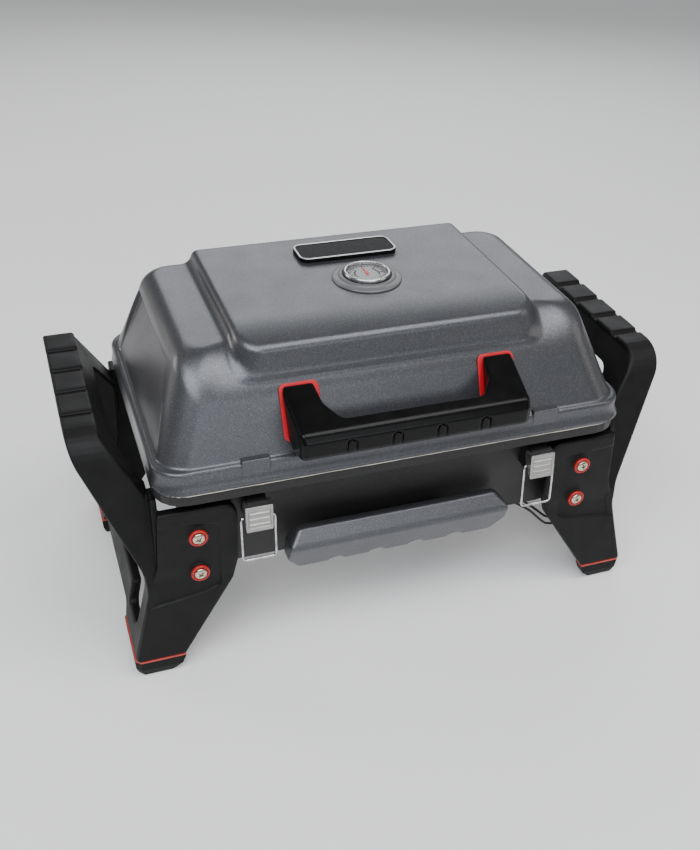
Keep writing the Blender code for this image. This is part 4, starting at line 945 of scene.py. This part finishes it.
def wire(name, points, radius):
    """A round wire along points in side-frame coordinates."""
    curve = bpy.data.curves.new(name, "CURVE")
    curve.dimensions, curve.use_fill_caps = "3D", True
    curve.bevel_depth, curve.bevel_resolution = radius, 5
    spline = curve.splines.new("POLY")
    spline.points.add(len(points) - 1)
    for point, (x, y, z) in zip(spline.points, points):
        point.co = (x, y + MIDDLE_Y, z, 1)
    obj = new_object(name + "_route", curve)
    bpy.context.view_layer.update()
    mesh = bpy.data.meshes.new_from_object(obj.evaluated_get(bpy.context.evaluated_depsgraph_get()))
    bpy.data.objects.remove(obj)
    mesh.name = name
    mesh.shade_smooth()
    return new_object(name, mesh)


def make_latches():
    """The lever and the wire bail of each latch."""
    low, high = (LATCH_X - 0.0135, -0.1625, 0.1645), (LATCH_X + 0.0135, -0.1445, 0.1930)
    lever = carve("lever_pressed_right", lever_field, low, high, 0.00042)
    other = mirror_copy("lever_pressed_left", lever)
    settle(lever, "latch_lever_right_body", "bright_steel", LEVER_STEEL, "latch_lever_right")
    settle(other, "latch_lever_left_body", "bright_steel", LEVER_STEEL, "latch_lever_left")
    for name, side in (("right", 1), ("left", -1)):
        path = [(side * LATCH_X + x, y, z) for x, y, z in bail_path()]
        bail = wire("bail_wire_" + name, path, BAIL_RADIUS)
        settle(bail, f"latch_bail_{name}_body", "chrome", CHROME, "latch_bail_" + name)


# ---- CAD pieces shown as they are, with softened edges -------------------------------------------
def dress(node, material, width=0.0, segments=2):
    """Gives a CAD node its material, and edges softened by width."""
    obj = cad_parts[node]
    obj.data.materials.clear()
    obj.data.materials.append(material)
    for polygon_face in obj.data.polygons:
        polygon_face.material_index = 0
    if width:
        soft = obj.modifiers.new("soft_edges", "BEVEL")
        soft.width, soft.segments = width, segments
        soft.limit_method, soft.angle_limit = "ANGLE", math.radians(35)
        soft.harden_normals = False
        soft.use_clamp_overlap = True


# node, material, width of the softened edge
CAD_LOOKS = [
    ("firebox", BLACK_CAST, 0.0012),
    ("emitter_plate", STAINLESS, 0.0002),
    ("cooking_grate", ENAMEL, 0.0008),
    ("burner_tube", STAINLESS, 0),
    ("igniter_electrode", CERAMIC, 0),
    ("grease_tray", ZINC, 0.0003),
    ("gauge_dial", DIAL, 0),
    ("gauge_needle", NEEDLE, 0),
    ("gauge_lens", GLASS, 0),
    ("gas_regulator", BRASS, 0.0005),
    ("control_knob", GLOSS_BLACK, 0.0005),
    ("igniter_body", GLOSS_BLACK, 0.0004),
    ("igniter_button", RED_PLASTIC, 0),
    ("igniter_lead", LEAD_RUBBER, 0),
    ("earth_lead", LEAD_RUBBER, 0),
]


def dress_the_rest():
    """The pieces that keep their CAD shape."""
    for node, material, width in CAD_LOOKS:
        dress(node, material, width)
    for y_name in ("front", "rear"):
        for x_name in ("left", "right"):
            dress(f"foot_cap_{y_name}_{x_name}", FOOT_RUBBER, 0.0014, 3)
            dress(f"foot_band_{y_name}_{x_name}", RED_STRIPE)
    for name in ("left", "right"):
        dress("latch_base_" + name, BLACK_COAT, 0.0008)
        dress("hinge_bracket_" + name, BLACK_COAT, 0.0005)
        dress("hinge_arm_" + name, BLACK_COAT, 0.0005)
        dress("hinge_pin_" + name, STEEL, 0.0003)


# ---- stage ---------------------------------------------------------------------------------------
FLOOR_HALF, FLOOR_DROP = 6.0, 0.0005
SKY_COLOUR, SKY_STRENGTH = (0.95, 0.97, 1.0, 1), 0.22


def make_stage():
    """A pale floor just under the feet."""
    corners = [(-1, -1, 0), (1, -1, 0), (1, 1, 0), (-1, 1, 0)]
    mesh = mesh_of("floor", FLOOR_HALF * np.array(corners, float), np.array([[0, 1, 2, 3]]))
    floor = new_object("floor", mesh)
    paint = Shader("floor_paint", (0.80, 0.80, 0.80), 0.8,
                   Emission_Color=(1, 1, 1, 1), Emission_Strength=0.12)
    floor.data.materials.append(paint.material)
    floor.location.z = -FLOOR_DROP


# name, place, height of the point it faces on the axis, size, power, colour
LIGHTS = [
    ("behind", (0.75, 1.9, 1.4), 0.25, (2.3, 1.1), 21, (0.96, 0.98, 1.0)),
    ("front_left", (-0.95, -1.1, 2.0), 0.20, (1.7, 1.3), 46, (0.93, 0.96, 1.0)),
    ("front", (0.25, -2.4, 1.1), 0.25, (1.6, 0.7), 10, (0.93, 0.96, 1.0)),
    ("front_top", (0.55, -0.7, 2.0), 0.20, (1.3, 1.0), 25, (0.98, 0.98, 1.0)),
    ("right", (1.8, -0.8, 1.1), 0.20, (0.8, 1.2), 6, (1.0, 0.90, 0.82)),
    ("left", (-1.9, 1.4, 0.9), 0.25, (1.0, 0.9), 16, (1.0, 0.94, 0.88)),
]


def area_light(name, where, target, size, power, colour):
    """A rectangular light that faces its target."""
    light = bpy.data.lights.new(name, "AREA")
    light.shape = "RECTANGLE"
    light.size, light.size_y = size
    light.energy = power
    light.color = colour
    obj = bpy.data.objects.new(name, light)
    obj.location = where
    obj.rotation_euler = (Vector(target) - Vector(where)).to_track_quat("-Z", "Y").to_euler()
    bpy.context.scene.collection.objects.link(obj)


def make_lights():
    """A faint sky and the area lights."""
    world = bpy.data.worlds.new("studio")
    bpy.context.scene.world = world
    world.use_nodes = True
    background = world.node_tree.nodes["Background"]
    background.inputs["Color"].default_value = SKY_COLOUR
    background.inputs["Strength"].default_value = SKY_STRENGTH
    for name, where, aim_z, size, power, colour in LIGHTS:
        area_light(name, where, (0, 0, aim_z), size, power, colour)


CAMERA_PLACE = (-0.33172, -0.89133, 0.78398)
CAMERA_YAW, CAMERA_PITCH, CAMERA_ROLL = (math.radians(a) for a in (20.27, 33.53, 2.18))
CAMERA_LENS, SENSOR_HEIGHT = 43.96, 36              # millimetres


def make_camera():
    """The camera that fits the view."""
    yaw, pitch, roll = CAMERA_YAW, CAMERA_PITCH, CAMERA_ROLL
    ahead = Vector((math.sin(yaw) * math.cos(pitch), math.cos(yaw) * math.cos(pitch),
                    -math.sin(pitch)))
    level = Vector((math.cos(yaw), -math.sin(yaw), 0))
    upright = level.cross(ahead)
    right = level * math.cos(roll) + upright * math.sin(roll)
    up = upright * math.cos(roll) - level * math.sin(roll)
    data = bpy.data.cameras.new("camera")
    data.sensor_fit, data.sensor_height = "VERTICAL", SENSOR_HEIGHT
    data.lens, data.clip_start = CAMERA_LENS, 0.01
    camera = bpy.data.objects.new("camera", data)
    bpy.context.scene.collection.objects.link(camera)
    turn = Matrix((right, up, -ahead)).transposed().to_4x4()
    camera.matrix_world = Matrix.Translation(Vector(CAMERA_PLACE) + Vector((0, MIDDLE_Y, 0))) @ turn
    bpy.context.scene.camera = camera


make_camera()
make_lights()
make_stage()
make_lid()
make_side_frames()
make_handles()
make_screws()
make_gauge()
make_badge()
make_latches()
dress_the_rest()
